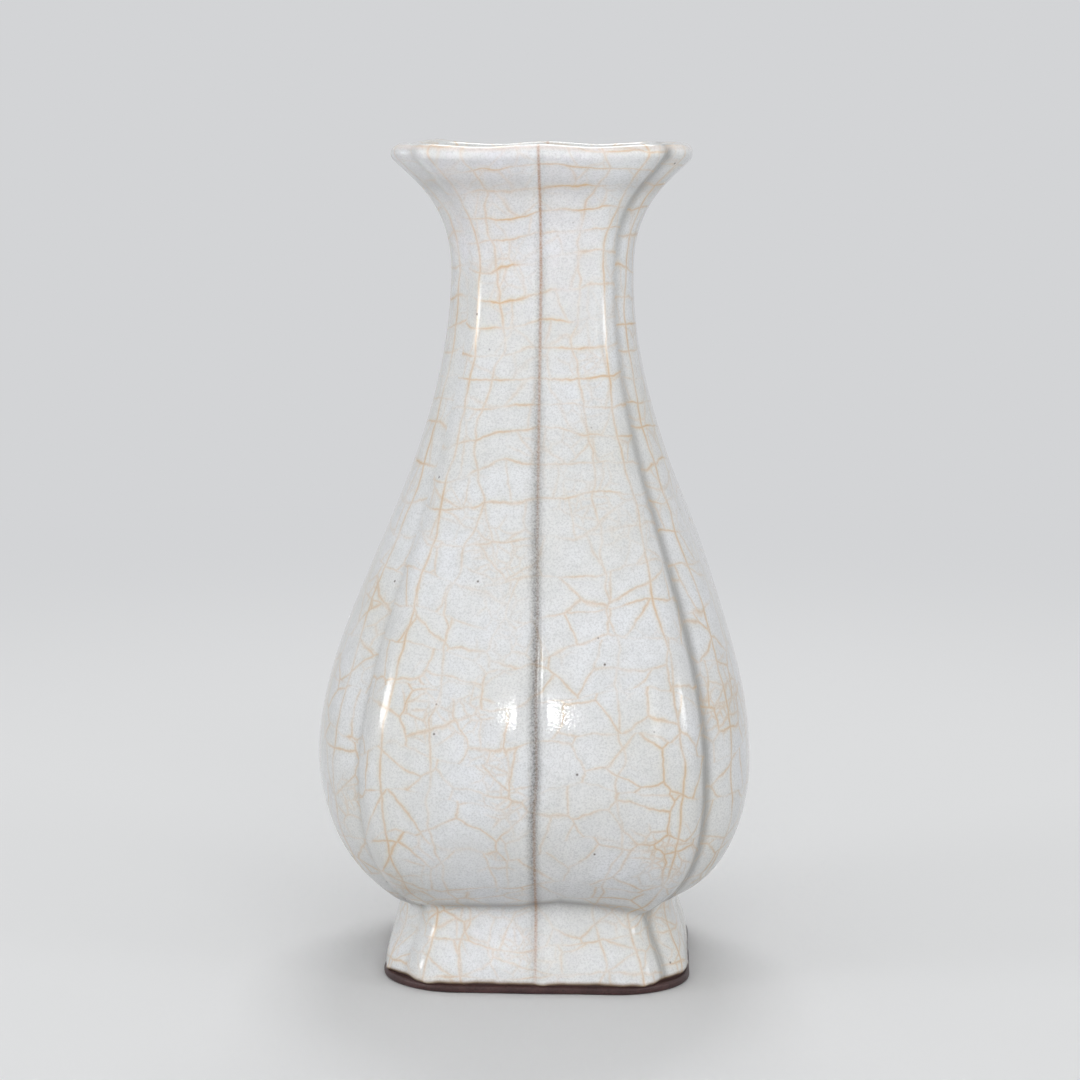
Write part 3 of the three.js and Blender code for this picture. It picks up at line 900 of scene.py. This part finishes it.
def crack_rows(tree, row, row_tall):
    """Cracks round the vase: distance to the nearest in mm, and a shift for the cells between."""
    nearest = add(tree, "ShaderNodeMath", {0: row, 1: 0.5}, operation="PINGPONG")
    distance = add(tree, "ShaderNodeMath", {0: nearest.outputs[0], 1: row_tall}, operation="MULTIPLY")
    number = add(tree, "ShaderNodeMath", {0: row}, operation="FLOOR")
    chance = add(tree, "ShaderNodeTexWhiteNoise", {"W": number.outputs[0]}, noise_dimensions="1D")
    onward = add(tree, "ShaderNodeVectorMath", {0: chance.outputs["Color"], 1: SHIFT_SPAN},
                 operation="MULTIPLY")
    return distance.outputs[0], onward.outputs[0]


def crack_cells(tree, place, scale, shift, width):
    """One level of cells: distance to its nearest crack in mm, and a shift for its children."""
    moved = add(tree, "ShaderNodeVectorMath", {0: place, 1: scale, 2: shift}, operation="MULTIPLY_ADD")
    edge = add(tree, "ShaderNodeTexVoronoi", {"Vector": moved.outputs[0], "Scale": 1.0},
               voronoi_dimensions="2D", feature="DISTANCE_TO_EDGE")
    cells = add(tree, "ShaderNodeTexVoronoi", {"Vector": moved.outputs[0], "Scale": 1.0},
                voronoi_dimensions="2D", feature="F1")
    distance = add(tree, "ShaderNodeMath", {0: edge.outputs["Distance"], 1: width}, operation="MULTIPLY")
    onward = add(tree, "ShaderNodeVectorMath", {0: cells.outputs["Color"], 1: SHIFT_SPAN, 2: shift},
                 operation="MULTIPLY_ADD")
    return distance.outputs[0], onward.outputs[0]


print("crackle levels, cell width in mm:", [level[0] for level in CRACK_LEVELS])

# %% [markdown]
# ## Glazed stoneware with an iron-stained crackle
# The real surface is a thick, pale blue-grey glaze, fired to a gloss over darker clay. It
# looks milky, not glassy: light scatters in it, and it turns greyer where it pools and warmer
# where it runs thin. IOR 1.5 and a roughness near 0.1 are usual for such a glaze. The
# material starts with the place on the surface, in millimetres, bent a little by noise,
# because cracks in glaze wander. The rows that run round the neck sway a little more, and the
# first cells are stretched upward there, because a narrow neck splits in level rows.

# %% Place on the surface, bent by noise
SIDE_APART = 400.0
# Length of a bend and how far it goes, both in mm
BENDS = [(17.0, 2.6), (2.6, 0.45)]
SWAY_LENGTH, SWAY_ROWS = 42.0, 1.5
glaze = bpy.data.materials.new("glazed_stoneware_iron_crackle")
tree = empty_nodes(glaze)
told = {label: add(tree, "ShaderNodeAttribute", attribute_name=label).outputs["Fac"] for label in PLAIN}
girth_round = add(tree, "ShaderNodeMath", {0: told["side"], 1: SIDE_APART, 2: told["girth"]},
                  operation="MULTIPLY_ADD")
flat_place = add(tree, "ShaderNodeCombineXYZ", {"X": girth_round.outputs[0], "Y": told["climb"]}).outputs[0]
place = flat_place
for length, size in BENDS:
    noise = add(tree, "ShaderNodeTexNoise", {"Vector": flat_place, "Scale": 1 / length, "Detail": 2.0},
                noise_dimensions="2D")
    centred = add(tree, "ShaderNodeVectorMath", {0: noise.outputs["Color"], 1: (-0.5, -0.5, 0.0)})
    bent = add(tree, "ShaderNodeVectorMath", {0: centred.outputs[0], 1: (2 * size, 2 * size, 0.0),
                                              2: place}, operation="MULTIPLY_ADD")
    place = bent.outputs[0]
bent = add(tree, "ShaderNodeSeparateXYZ", {0: place}).outputs
bent_by = add(tree, "ShaderNodeMath", {0: bent["Y"], 1: told["climb"]}, operation="SUBTRACT").outputs[0]
first_width = CRACK_LEVELS[0][0]
cell_across = add(tree, "ShaderNodeMath", {0: bent["X"], 1: 1 / first_width},
                  operation="MULTIPLY").outputs[0]
cell_up = add(tree, "ShaderNodeMath", {0: bent_by, 1: 1 / first_width, 2: told["cell"]},
              operation="MULTIPLY_ADD").outputs[0]
first_place = add(tree, "ShaderNodeCombineXYZ", {"X": cell_across, "Y": cell_up}).outputs[0]
bent_rows = add(tree, "ShaderNodeMath", {0: bent_by, 1: told["row_tall"]}, operation="DIVIDE").outputs[0]
sway = add(tree, "ShaderNodeTexNoise", {"Vector": flat_place, "Scale": 1 / SWAY_LENGTH, "Detail": 1.0},
           noise_dimensions="2D").outputs["Fac"]
swayed = add(tree, "ShaderNodeMath", {0: sway, 1: SWAY_ROWS, 2: bent_rows}, operation="MULTIPLY_ADD")
row = add(tree, "ShaderNodeMath", {0: swayed.outputs[0], 1: told["row"]}, operation="ADD").outputs[0]
print("glaze reads", ", ".join(sorted(told)))

# %% [markdown]
# ## Rows and three levels of cells
# The rows are strong on the narrow neck, and the cells on the wide belly. Stain took
# unevenly, so a noise lets every crack come and go along its length. The two finer levels
# keep to patches.

# %% Rows and cells, and how strongly each took the stain
ROW_SHORT, ROW_LONG = 8.0, 12.0
ROWS_ON_NECK, ROWS_ON_BELLY = 0.9, 0.35
CELLS_ON_NECK, CELLS_ON_BELLY = 0.35, 1.0
PATCH_SIZE = 24.0
UNEVEN_SIZE, UNEVEN_FROM, UNEVEN_FULL = 15.0, 0.34, 0.66
WEAKEST, STRONGEST = 0.32, 1.1

strength_noise = add(tree, "ShaderNodeTexNoise", {"Vector": flat_place, "Scale": 1 / UNEVEN_SIZE,
                                                  "Detail": 3.0}, noise_dimensions="2D")
uneven = add(tree, "ShaderNodeMapRange", {"Value": strength_noise.outputs["Fac"],
                                          "From Min": UNEVEN_FROM, "From Max": UNEVEN_FULL,
                                          "To Min": WEAKEST, "To Max": STRONGEST}).outputs[0]
took = add(tree, "ShaderNodeMath", {0: uneven, 1: told["stained"]}, operation="MULTIPLY").outputs[0]
patches = add(tree, "ShaderNodeTexNoise", {"Vector": flat_place, "Scale": 1 / PATCH_SIZE, "Detail": 1.0},
              noise_dimensions="2D")
row_distance, shift = crack_rows(tree, row, told["row_tall"])
strengths = []
for on_neck, on_belly in ((ROWS_ON_NECK, ROWS_ON_BELLY), (CELLS_ON_NECK, CELLS_ON_BELLY)):
    share = add(tree, "ShaderNodeMapRange", {"Value": told["row_tall"], "From Min": ROW_SHORT,
                                             "From Max": ROW_LONG, "To Min": on_neck, "To Max": on_belly})
    share = add(tree, "ShaderNodeMath", {0: took, 1: share.outputs[0]}, operation="MULTIPLY")
    strengths.append(share.outputs[0])
row_strength, cell_strength = strengths
row_strength = add(tree, "ShaderNodeMath", {0: row_strength, 1: uneven}, operation="MULTIPLY").outputs[0]
cracks = [(row_distance, row_strength)]
for level, (width, level_strength, patch_from, patch_full) in enumerate(CRACK_LEVELS):
    level_place, scale = (place, 1 / width) if level else (first_place, 1.0)
    distance, shift = crack_cells(tree, level_place, (scale, scale, 1.0), shift, width)
    in_patch = add(tree, "ShaderNodeMapRange", {"Value": patches.outputs["Fac"], "From Min": patch_from,
                                                "From Max": patch_full, "To Max": level_strength})
    strength = add(tree, "ShaderNodeMath", {0: cell_strength, 1: in_patch.outputs[0]}, operation="MULTIPLY")
    cracks.append((distance, strength.outputs[0]))
print(f"{len(cracks)} families of short cracks")

# %% [markdown]
# ## A few long cracks
# The long cracks up a side are drawn one by one. Each keeps to a share of its side's width
# and wanders by a noise that only knows the height and the side.

# %% Long cracks
# Share of the side's half width, wander in mm, seed and strength
LONG_CRACKS = [(-0.78, 2.2, 2.3, 0.85), (-0.52, 5.0, 7.9, 0.6),
               (0.46, 5.0, 15.1, 0.5), (0.78, 2.2, 21.7, 0.85)]
WANDER_LENGTH = 24.0
SIDE_SEED = 31.7

half_side = add(tree, "ShaderNodeMath", {0: told["girth"]}, operation="ABSOLUTE").outputs[0]
half_side = add(tree, "ShaderNodeMath", {0: half_side, 1: told["fold"]}, operation="ADD").outputs[0]
for share, wander, seed, crack_strength in LONG_CRACKS:
    seeded = add(tree, "ShaderNodeMath", {0: told["climb"], 1: 1 / WANDER_LENGTH, 2: seed},
                 operation="MULTIPLY_ADD").outputs[0]
    own = add(tree, "ShaderNodeMath", {0: told["side"], 1: SIDE_SEED, 2: seeded}, operation="MULTIPLY_ADD")
    noise = add(tree, "ShaderNodeTexNoise", {"W": own.outputs[0], "Scale": 1.0, "Detail": 3.0},
                noise_dimensions="1D")
    swing = add(tree, "ShaderNodeMath", {0: noise.outputs["Fac"], 1: 2 * wander, 2: -wander},
                operation="MULTIPLY_ADD").outputs[0]
    line_at = add(tree, "ShaderNodeMath", {0: half_side, 1: share, 2: swing}, operation="MULTIPLY_ADD")
    off = add(tree, "ShaderNodeMath", {0: told["girth"], 1: line_at.outputs[0]},
              operation="SUBTRACT").outputs[0]
    off = add(tree, "ShaderNodeMath", {0: off}, operation="ABSOLUTE").outputs[0]
    strength = add(tree, "ShaderNodeMath", {0: uneven, 1: crack_strength}, operation="MULTIPLY").outputs[0]
    cracks.append((off, strength))
print(f"{len(cracks)} families of cracks in all")

# %% [markdown]
# ## Stain in the cracks
# Stain soaks in from a crack, so it's darkest on it and fades away from it. Every crack gets a
# soft halo, a line of stain and a dark core, which differ only in breadth. A real crack is a
# tenth of a millimetre wide with half a millimetre of stain. Both are drawn a little broader
# here, so that they show in a picture of the whole vase.

# %% Stain, core and halo of all cracks together
STAIN_BREADTH, CORE_BREADTH, HALO_BREADTH = 0.68, 0.2, 2.2


def stain_line(tree, distance, breadth, strength):
    """Stain that is full on a crack and fades to nothing a breadth away from it."""
    fade = add(tree, "ShaderNodeMapRange", {"Value": distance, "From Min": breadth, "From Max": 0.0},
               interpolation_type="SMOOTHERSTEP")
    line = add(tree, "ShaderNodeMath", {0: fade.outputs["Result"], 1: strength}, operation="MULTIPLY")
    return line.outputs[0]


drawn = {}
for layer, breadth in (("stain", STAIN_BREADTH), ("core", CORE_BREADTH), ("halo", HALO_BREADTH)):
    drawn[layer] = 0.0
    for distance, strength in cracks:
        line = stain_line(tree, distance, breadth, strength)
        strongest = add(tree, "ShaderNodeMath", {0: drawn[layer], 1: line}, operation="MAXIMUM")
        drawn[layer] = strongest.outputs[0]
print("drawn along the cracks:", ", ".join(drawn))

# %% [markdown]
# ## Clouds, mottles and grain
# A fired glaze is never one flat colour. Before its colours are laid on, the share of each is
# worked out. Noise at three sizes gives slow clouds, mottles of a few millimetres and a fine
# grain, which is drawn at half a millimetre so that it shows. Each share is a stretch of its
# noise.

# %% Clouds, mottles and grain
# Size in mm, detail and roughness of each noise
NOISES = {"clouds": (26.0, 3.0, 0.5), "mottles": (4.5, 3.0, 0.5), "grain": (0.5, 2.0, 0.7)}
# The noise of each share, where in it the share begins and is full, and its least and most
SHARES = {"cloudy": ("clouds", 0.35, 0.70, 0.0, 1.0), "mottled": ("mottles", 0.42, 0.68, 0.0, 0.40),
          "grainy": ("grain", 0.44, 0.66, 0.0, 0.42), "broken": ("grain", 0.35, 0.65, 0.55, 1.0)}
in_mm = place_in_mm(tree)
noises = {}
for name, (size, detail, roughness) in NOISES.items():
    noise = add(tree, "ShaderNodeTexNoise", {"Vector": in_mm, "Scale": 1 / size, "Detail": detail,
                                             "Roughness": roughness})
    noises[name] = noise.outputs["Fac"]
shares = {}
for name, (noise, begins, full, least, most) in SHARES.items():
    share = add(tree, "ShaderNodeMapRange", {"Value": noises[noise], "From Min": begins,
                                             "From Max": full, "To Min": least, "To Max": most})
    shares[name] = share.outputs[0]
print("noise sizes in mm:", {name: size for name, (size, _, _) in NOISES.items()})

# %% [markdown]
# ## Pools and painted shade, groove, specks and edge
# The hollow measure says where glaze pools and where painted shade lies in the folds and over
# the crease. The groove gets painted shade, partly grey pooled glaze, with a stained line in it,
# both broken up by the grain. Small dark spots are specks of iron in the clay. A Voronoi texture
# gives one speck to each of its cells, which are as wide as the specks lie apart. Close above
# its edge, thin glaze fires brown.

# %% Pools and painted shade, groove, specks and the edge
POOL_FROM, POOL_FULL, POOL_MOST = 0.02, 0.32, 0.72
SHADE_BREADTH, SHADE_LEFT = 1.35, 0.25
GROOVE_LINE = 0.7
SPOT_APART = 9.0
SPOT_CORE, SPOT_EDGE, SPOT_MOST = 0.02, 0.05, 0.85
BROWN_FROM, BROWN_FULL, BROWN_MOST = 1.3, 0.1, 0.8
# Grey of pooled glaze together with painted shade, wherever the hollow measure is high
pooled_and_shade = add(tree, "ShaderNodeMapRange", {"Value": told["hollow"], "From Min": POOL_FROM,
                                          "From Max": POOL_FULL, "To Max": POOL_MOST},
             interpolation_type="SMOOTHSTEP")
# Painted shade in the groove, partly grey pooled glaze, centred a little to its left
groove_in = add(tree, "ShaderNodeMath", {0: told["groove_off"], 1: 1 / SHADE_BREADTH, 2: SHADE_LEFT},
                operation="MULTIPLY_ADD")
groove_in = add(tree, "ShaderNodeMath", {0: groove_in.outputs[0], 1: 2.0}, operation="POWER")
groove_in = add(tree, "ShaderNodeMath", {0: math.exp(-1), 1: groove_in.outputs[0]}, operation="POWER")
shaded = add(tree, "ShaderNodeMath", {0: groove_in.outputs[0], 1: told["shade"]}, operation="MULTIPLY")
shaded = add(tree, "ShaderNodeMath", {0: shaded.outputs[0], 1: shares["broken"]}, operation="MULTIPLY")
off_line = add(tree, "ShaderNodeMath", {0: told["groove_off"]}, operation="ABSOLUTE").outputs[0]
groove_stain = add(tree, "ShaderNodeMath", {0: told["groove"], 1: shares["broken"]}, operation="MULTIPLY")
groove_stain = stain_line(tree, off_line, GROOVE_LINE, groove_stain.outputs[0])
spots = add(tree, "ShaderNodeTexVoronoi", {"Vector": in_mm, "Scale": 1 / SPOT_APART}, feature="F1")
spotted = add(tree, "ShaderNodeMapRange", {"Value": spots.outputs["Distance"], "From Min": SPOT_EDGE,
                                           "From Max": SPOT_CORE, "To Max": SPOT_MOST})
near_edge = add(tree, "ShaderNodeMapRange", {"Value": told["above_edge"], "From Min": BROWN_FROM,
                                             "From Max": BROWN_FULL, "To Max": BROWN_MOST},
                interpolation_type="SMOOTHSTEP")
print(f"glaze is brown up to {BROWN_FROM} mm above its edge")

# %% [markdown]
# ## Colour of the glaze
# The colours are laid on in the order in which they lie in the glaze: the milky body and its
# clouds, grey where it's thick together with painted shade in the folds, over the crease and
# under the lip, warm where it runs thin at the lip, the soft halo, the line and the dark core of
# each crack, the painted shade and stained line of the groove, and last the specks, the brown
# glaze edge and the bare clay below it. Each step mixes one colour over all before it. In a
# mix node, inputs 6 and 7 are the two colours and output 2 is the mixed one.

# %% Lay on the colours
MILKY, CLOUD, MOTTLE, GRAIN = "#e8eaed", "#e1e1de", "#d6d8d8", "#b2b3b3"
POOLED_AND_SHADE, GROOVE_POOL_AND_SHADE = "#7d7b77", "#57534f"
HALO, STAIN, STAIN_CORE = "#d8cdb6", "#d6a962", "#b07a48"
THIN_WARM = "#ecd0bd"
EDGE_BROWN = "#8a6a3e"
IRON_SPOT = "#4a3a30"
BARE_CLAY = "#3b2725"
# Painted shade goes on with the pooled grey, under the lip and in the groove
LAYERS = [(CLOUD, shares["cloudy"], 1.0), (MOTTLE, shares["mottled"], 1.0), (GRAIN, shares["grainy"], 1.0),
          (POOLED_AND_SHADE, pooled_and_shade.outputs["Result"], 1.0), (POOLED_AND_SHADE, told["under_lip"], 0.2),
          (THIN_WARM, told["lip"], 0.4), (HALO, drawn["halo"], 0.28), (STAIN, drawn["stain"], 0.5),
          (STAIN_CORE, drawn["core"], 0.22), (GROOVE_POOL_AND_SHADE, shaded.outputs[0], 0.8),
          (STAIN_CORE, groove_stain, 0.8), (IRON_SPOT, spotted.outputs[0], 1.0),
          (EDGE_BROWN, near_edge.outputs["Result"], 1.0), (BARE_CLAY, told["bare"], 1.0)]
colour = linear(MILKY)
for tint, share, most in LAYERS:
    amount = add(tree, "ShaderNodeMath", {0: share, 1: most}, operation="MULTIPLY", use_clamp=True)
    mixed = add(tree, "ShaderNodeMix", {"Factor": amount.outputs[0], 6: colour, 7: linear(tint)},
                data_type="RGBA")
    colour = mixed.outputs[2]
print(f"{len(LAYERS)} colours laid over {MILKY}")

# %% [markdown]
# ## Relief and gloss
# A fired glaze is smooth but not flat. It has a soft orange-peel swell, a fine grain of burst
# bubbles that frays the edge of a highlight, and a hair-thin dip along each crack. Those go
# into a bump in real millimetres. The bubbles are 0.2 mm on the vase and are drawn at 0.7 mm,
# so that they show. The gloss is softer on bare clay, where glaze pools and where the pooled
# grey carries painted shade.

# %% Relief, shader and output
PEEL_SIZE, PEEL_DEPTH = 3.2, 0.018
BUBBLE_SIZE, BUBBLE_DEPTH = 0.7, 0.034
CRACK_DIP = 0.006
GLAZE_ROUGH, POOL_ROUGH, CLAY_ROUGH = 0.10, 0.40, 0.5
relief = 0.0
for size, depth in ((PEEL_SIZE, PEEL_DEPTH), (BUBBLE_SIZE, BUBBLE_DEPTH)):
    swell = add(tree, "ShaderNodeTexNoise", {"Vector": in_mm, "Scale": 1 / size, "Detail": 1.0})
    relief = add(tree, "ShaderNodeMath", {0: swell.outputs["Fac"], 1: depth, 2: relief},
                 operation="MULTIPLY_ADD").outputs[0]
relief = add(tree, "ShaderNodeMath", {0: drawn["core"], 1: -CRACK_DIP, 2: relief},
             operation="MULTIPLY_ADD").outputs[0]
bump = add(tree, "ShaderNodeBump", {"Height": relief, "Distance": MM, "Strength": 1.0})
rough = add(tree, "ShaderNodeMapRange", {"Value": pooled_and_shade.outputs["Result"], "To Min": GLAZE_ROUGH,
                                         "To Max": POOL_ROUGH})
rough = add(tree, "ShaderNodeMapRange", {"Value": told["bare"], "To Min": rough.outputs[0],
                                         "To Max": CLAY_ROUGH})
shader = add(tree, "ShaderNodeBsdfPrincipled", {"Base Color": colour, "Roughness": rough.outputs[0],
                                                "IOR": 1.5, "Normal": bump.outputs[0]})
add(tree, "ShaderNodeOutputMaterial", {"Surface": shader.outputs[0]})
for piece in walls + feet + [slab]:
    piece.data.materials.append(glaze)
    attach(piece, "root")
print(f"glaze has {len(tree.nodes)} nodes")

# %% [markdown]
# ## Bare clay with an iron dressing
# The rim is the clay itself, brushed with iron-rich slip and fired nearly black-brown. It's
# dense and slightly waxy, not shiny, so a roughness near 0.45 gives it the soft sheen of a
# fired slip. Sand in the clay makes a grit of about half a millimetre.

# %% Rim material
SLIP_THIN, SLIP_THICK, GRIT_DARK = "#4c3231", "#3a2423", "#241514"
# Colour, size of its pattern in mm, and where in the pattern it begins and is full
SLIP_COATS = [(SLIP_THICK, 7.0, 0.35, 0.65), (GRIT_DARK, 0.5, 0.5, 0.8)]
GRIT_DEPTH = 0.03
SLIP_SMOOTH, SLIP_ROUGH = 0.36, 0.52
clay = bpy.data.materials.new("bare_stoneware_iron_slip")
tree = empty_nodes(clay)
in_mm = place_in_mm(tree)
colour = linear(SLIP_THIN)
for tint, size, begins, full in SLIP_COATS:
    grit = add(tree, "ShaderNodeTexNoise", {"Vector": in_mm, "Scale": 1 / size, "Detail": 3.0})
    share = add(tree, "ShaderNodeMapRange", {"Value": grit.outputs["Fac"], "From Min": begins,
                                             "From Max": full})
    mixed = add(tree, "ShaderNodeMix", {"Factor": share.outputs[0], 6: colour, 7: linear(tint)},
                data_type="RGBA")
    colour = mixed.outputs[2]
# The last pattern is the grit, which also roughens the slip
rough = add(tree, "ShaderNodeMapRange", {"Value": grit.outputs["Fac"], "To Min": SLIP_SMOOTH,
                                         "To Max": SLIP_ROUGH})
bump = add(tree, "ShaderNodeBump", {"Height": grit.outputs["Fac"], "Distance": GRIT_DEPTH * MM})
shader = add(tree, "ShaderNodeBsdfPrincipled", {"Base Color": colour, "Roughness": rough.outputs[0],
                                                "IOR": 1.5, "Normal": bump.outputs[0]})
add(tree, "ShaderNodeOutputMaterial", {"Surface": shader.outputs[0]})
rim.data.materials.append(clay)
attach(rim, "root")
print(f"rim clay has {len(tree.nodes)} nodes")

# %% [markdown]
# ## Floor
# The vase stands on a plain pale board that has its shadow on it. Away from the vase the board
# fades into the colour of the backdrop, so that no horizon cuts the picture. It fades only for
# the camera and in reflections. It lights the vase as a darker matt board would, so pale glaze
# keeps its tone.

# %% Floor
FLOOR_HALF = 6000.0
FADE_FROM, FADE_TO = 200.0, 950.0
BOARD, BOARD_BOUNCE, BACKDROP = "#e6e7e8", "#abacae", "#d3d4d6"
BOARD_ROUGH = 0.9


def rays_that_show(tree):
    """1 for the camera's rays and for those of reflections, which show the floor and the room."""
    path = add(tree, "ShaderNodeLightPath").outputs
    return add(tree, "ShaderNodeMath", {0: path["Is Camera Ray"], 1: path["Is Glossy Ray"]},
               operation="MAXIMUM").outputs[0]


corners = FLOOR_HALF * np.array([(-1, -1, 0), (1, -1, 0), (1, 1, 0), (-1, 1, 0)])
floor = new_piece("floor", corners, [(0, 1, 2, 3)], {})
matt = bpy.data.materials.new("matt_pale_board")
tree = empty_nodes(matt)
away = add(tree, "ShaderNodeVectorMath", {0: place_in_mm(tree)}, operation="LENGTH").outputs["Value"]
faded = add(tree, "ShaderNodeMapRange", {"Value": away, "From Min": FADE_FROM, "From Max": FADE_TO},
            interpolation_type="SMOOTHERSTEP").outputs["Result"]
seen = rays_that_show(tree)
faded = add(tree, "ShaderNodeMath", {0: faded, 1: seen}, operation="MULTIPLY").outputs[0]
board_tone = add(tree, "ShaderNodeMix", {"Factor": seen, 6: linear(BOARD_BOUNCE), 7: linear(BOARD)},
                 data_type="RGBA").outputs[2]
board = add(tree, "ShaderNodeBsdfPrincipled", {"Base Color": board_tone, "Roughness": BOARD_ROUGH})
backdrop = add(tree, "ShaderNodeEmission", {"Color": linear(BACKDROP), "Strength": 1.0})
both = add(tree, "ShaderNodeMixShader", {0: faded, 1: board.outputs[0], 2: backdrop.outputs[0]})
add(tree, "ShaderNodeOutputMaterial", {"Surface": both.outputs[0]})
floor.data.materials.append(matt)
print(f"floor fades from {FADE_FROM:.0f} to {FADE_TO:.0f} mm away")

# %% [markdown]
# ## Room
# A pale room lights the vase from all round and a little more from the front. The camera and
# reflections see a plain backdrop in its place, so the colour behind the vase can be chosen
# without changing the light on it.

# %% Room
ROOM_ALL_ROUND, ROOM_FROM_FRONT = 0.53, 0.20
room = bpy.data.worlds.new("pale_room")
bpy.context.scene.world = room
tree = empty_nodes(room)
direction = add(tree, "ShaderNodeTexCoord").outputs["Generated"]
direction = add(tree, "ShaderNodeSeparateXYZ", {0: direction}).outputs["Y"]
brightness = add(tree, "ShaderNodeMapRange", {"Value": direction, "From Min": 0.0, "From Max": -1.0,
                                              "To Min": ROOM_ALL_ROUND,
                                              "To Max": ROOM_ALL_ROUND + ROOM_FROM_FRONT}).outputs[0]
lit = add(tree, "ShaderNodeBackground", {"Color": (1.0, 1.0, 1.0, 1.0), "Strength": brightness})
shown = add(tree, "ShaderNodeBackground", {"Color": linear(BACKDROP), "Strength": 1.0})
both = add(tree, "ShaderNodeMixShader", {0: rays_that_show(tree), 1: lit.outputs[0], 2: shown.outputs[0]})
add(tree, "ShaderNodeOutputWorld", {"Surface": both.outputs[0]})
bpy.context.scene.view_settings.view_transform = "Standard"
print(f"room lights at {ROOM_ALL_ROUND} and at {ROOM_ALL_ROUND + ROOM_FROM_FRONT:.2f} from the front")

# %% [markdown]
# ## Soft boxes
# Glaze is lit for its gloss as much as for its colour. A soft box on each side draws a short
# bright line on every shoulder, and a small one in front makes the two glints beside the
# groove. That one has a honeycomb, which narrows its spread, so it leaves neck and foot alone.
# The fills even out the tone from above, from low in front, under the mouth and on the foot,
# and they don't show as glints. A lamp's power follows from its area, its spread and the
# brightness of its cloth, so a smaller box makes a smaller highlight, not a duller one.

# %% Lamps
# Azimuth in degrees; distance, height, width and tallness in m; brightness; spread in degrees;
# height of the point that the lamp faces, in m
SOFT_BOXES = [("soft_box_left", -66, 0.95, 0.29, 0.29, 0.17, 9.5, 180, 0.08),
              ("soft_box_right", 66, 0.95, 0.29, 0.29, 0.17, 6.5, 180, 0.08),
              ("soft_box_front", -4, 1.10, 0.365, 0.05, 0.08, 100.0, 7, 0.08),
              ("soft_box_grazing", 29, 1.10, 0.30, 0.04, 0.30, 6.0, 180, 0.08),
              ("soft_box_behind", 180, 0.70, 1.20, 0.50, 0.30, 9.0, 180, 0.08)]
FILL_BOXES = [("fill_high", 12, 1.30, 1.00, 0.90, 0.60, 1.7, 180, 0.08),
              ("fill_wide", -2, 1.60, 0.13, 1.40, 0.22, 4.7, 180, 0.08),
              ("fill_mouth", 0, 1.30, 0.05, 0.30, 0.03, 480.0, 12, 0.27),
              ("fill_foot", 4, 1.20, 0.20, 0.14, 0.03, 320.0, 5, 0.008)]


def facing(place, target):
    """The rotation that points a lamp or a camera from its place at a target."""
    return (Vector(target) - Vector(place)).to_track_quat("-Z", "Y").to_euler()


for name, azimuth, away, height, width, tall, brightness, spread, aim in SOFT_BOXES + FILL_BOXES:
    lamp = bpy.data.lights.new(name, "AREA")
    lamp.shape, lamp.size, lamp.size_y = "RECTANGLE", width, tall
    lamp.spread = math.radians(spread)
    beam_share = 1 - (lamp.spread / 2) / math.tan(lamp.spread / 2)
    lamp.energy = brightness * math.pi * width * tall * beam_share
    box = bpy.data.objects.new(name, lamp)
    turn = math.radians(azimuth)
    box.location = (away * math.sin(turn), -away * math.cos(turn), height)
    box.rotation_euler = facing(box.location, (0.0, 0.0, aim))
    box.visible_glossy = not name.startswith("fill")
    bpy.context.scene.collection.objects.link(box)
print(f"{len(SOFT_BOXES)} soft boxes and {len(FILL_BOXES)} fills")

# %% [markdown]
# ## The camera
# The camera stands 0.8 m from the vase at the height of its lip, a few degrees to the right
# of the front, and looks slightly down. The focal length follows from how large the vase
# stands in a square picture.

# %% Camera
CAMERA_AWAY, CAMERA_HEIGHT = 0.800, 0.228
CAMERA_TURN, CAMERA_DOWN = math.radians(3.7), math.radians(8.107)
FOCAL_PIXELS, PICTURE_PIXELS, SENSOR = 3002.0, 1080.0, 36.0
lens = bpy.data.cameras.new("camera")
lens.sensor_width = SENSOR
lens.lens = FOCAL_PIXELS / PICTURE_PIXELS * SENSOR
lens.clip_start, lens.clip_end = 0.05, 50.0
camera = bpy.data.objects.new("camera", lens)
camera.location = (CAMERA_AWAY * math.sin(CAMERA_TURN), -CAMERA_AWAY * math.cos(CAMERA_TURN), CAMERA_HEIGHT)
aim = (0.0, 0.0, CAMERA_HEIGHT - CAMERA_AWAY * math.tan(CAMERA_DOWN))
camera.rotation_euler = facing(camera.location, aim)
bpy.context.scene.collection.objects.link(camera)
bpy.context.scene.camera = camera
print(f"lens {lens.lens:.1f} mm at {CAMERA_AWAY * 1000:.0f} mm")
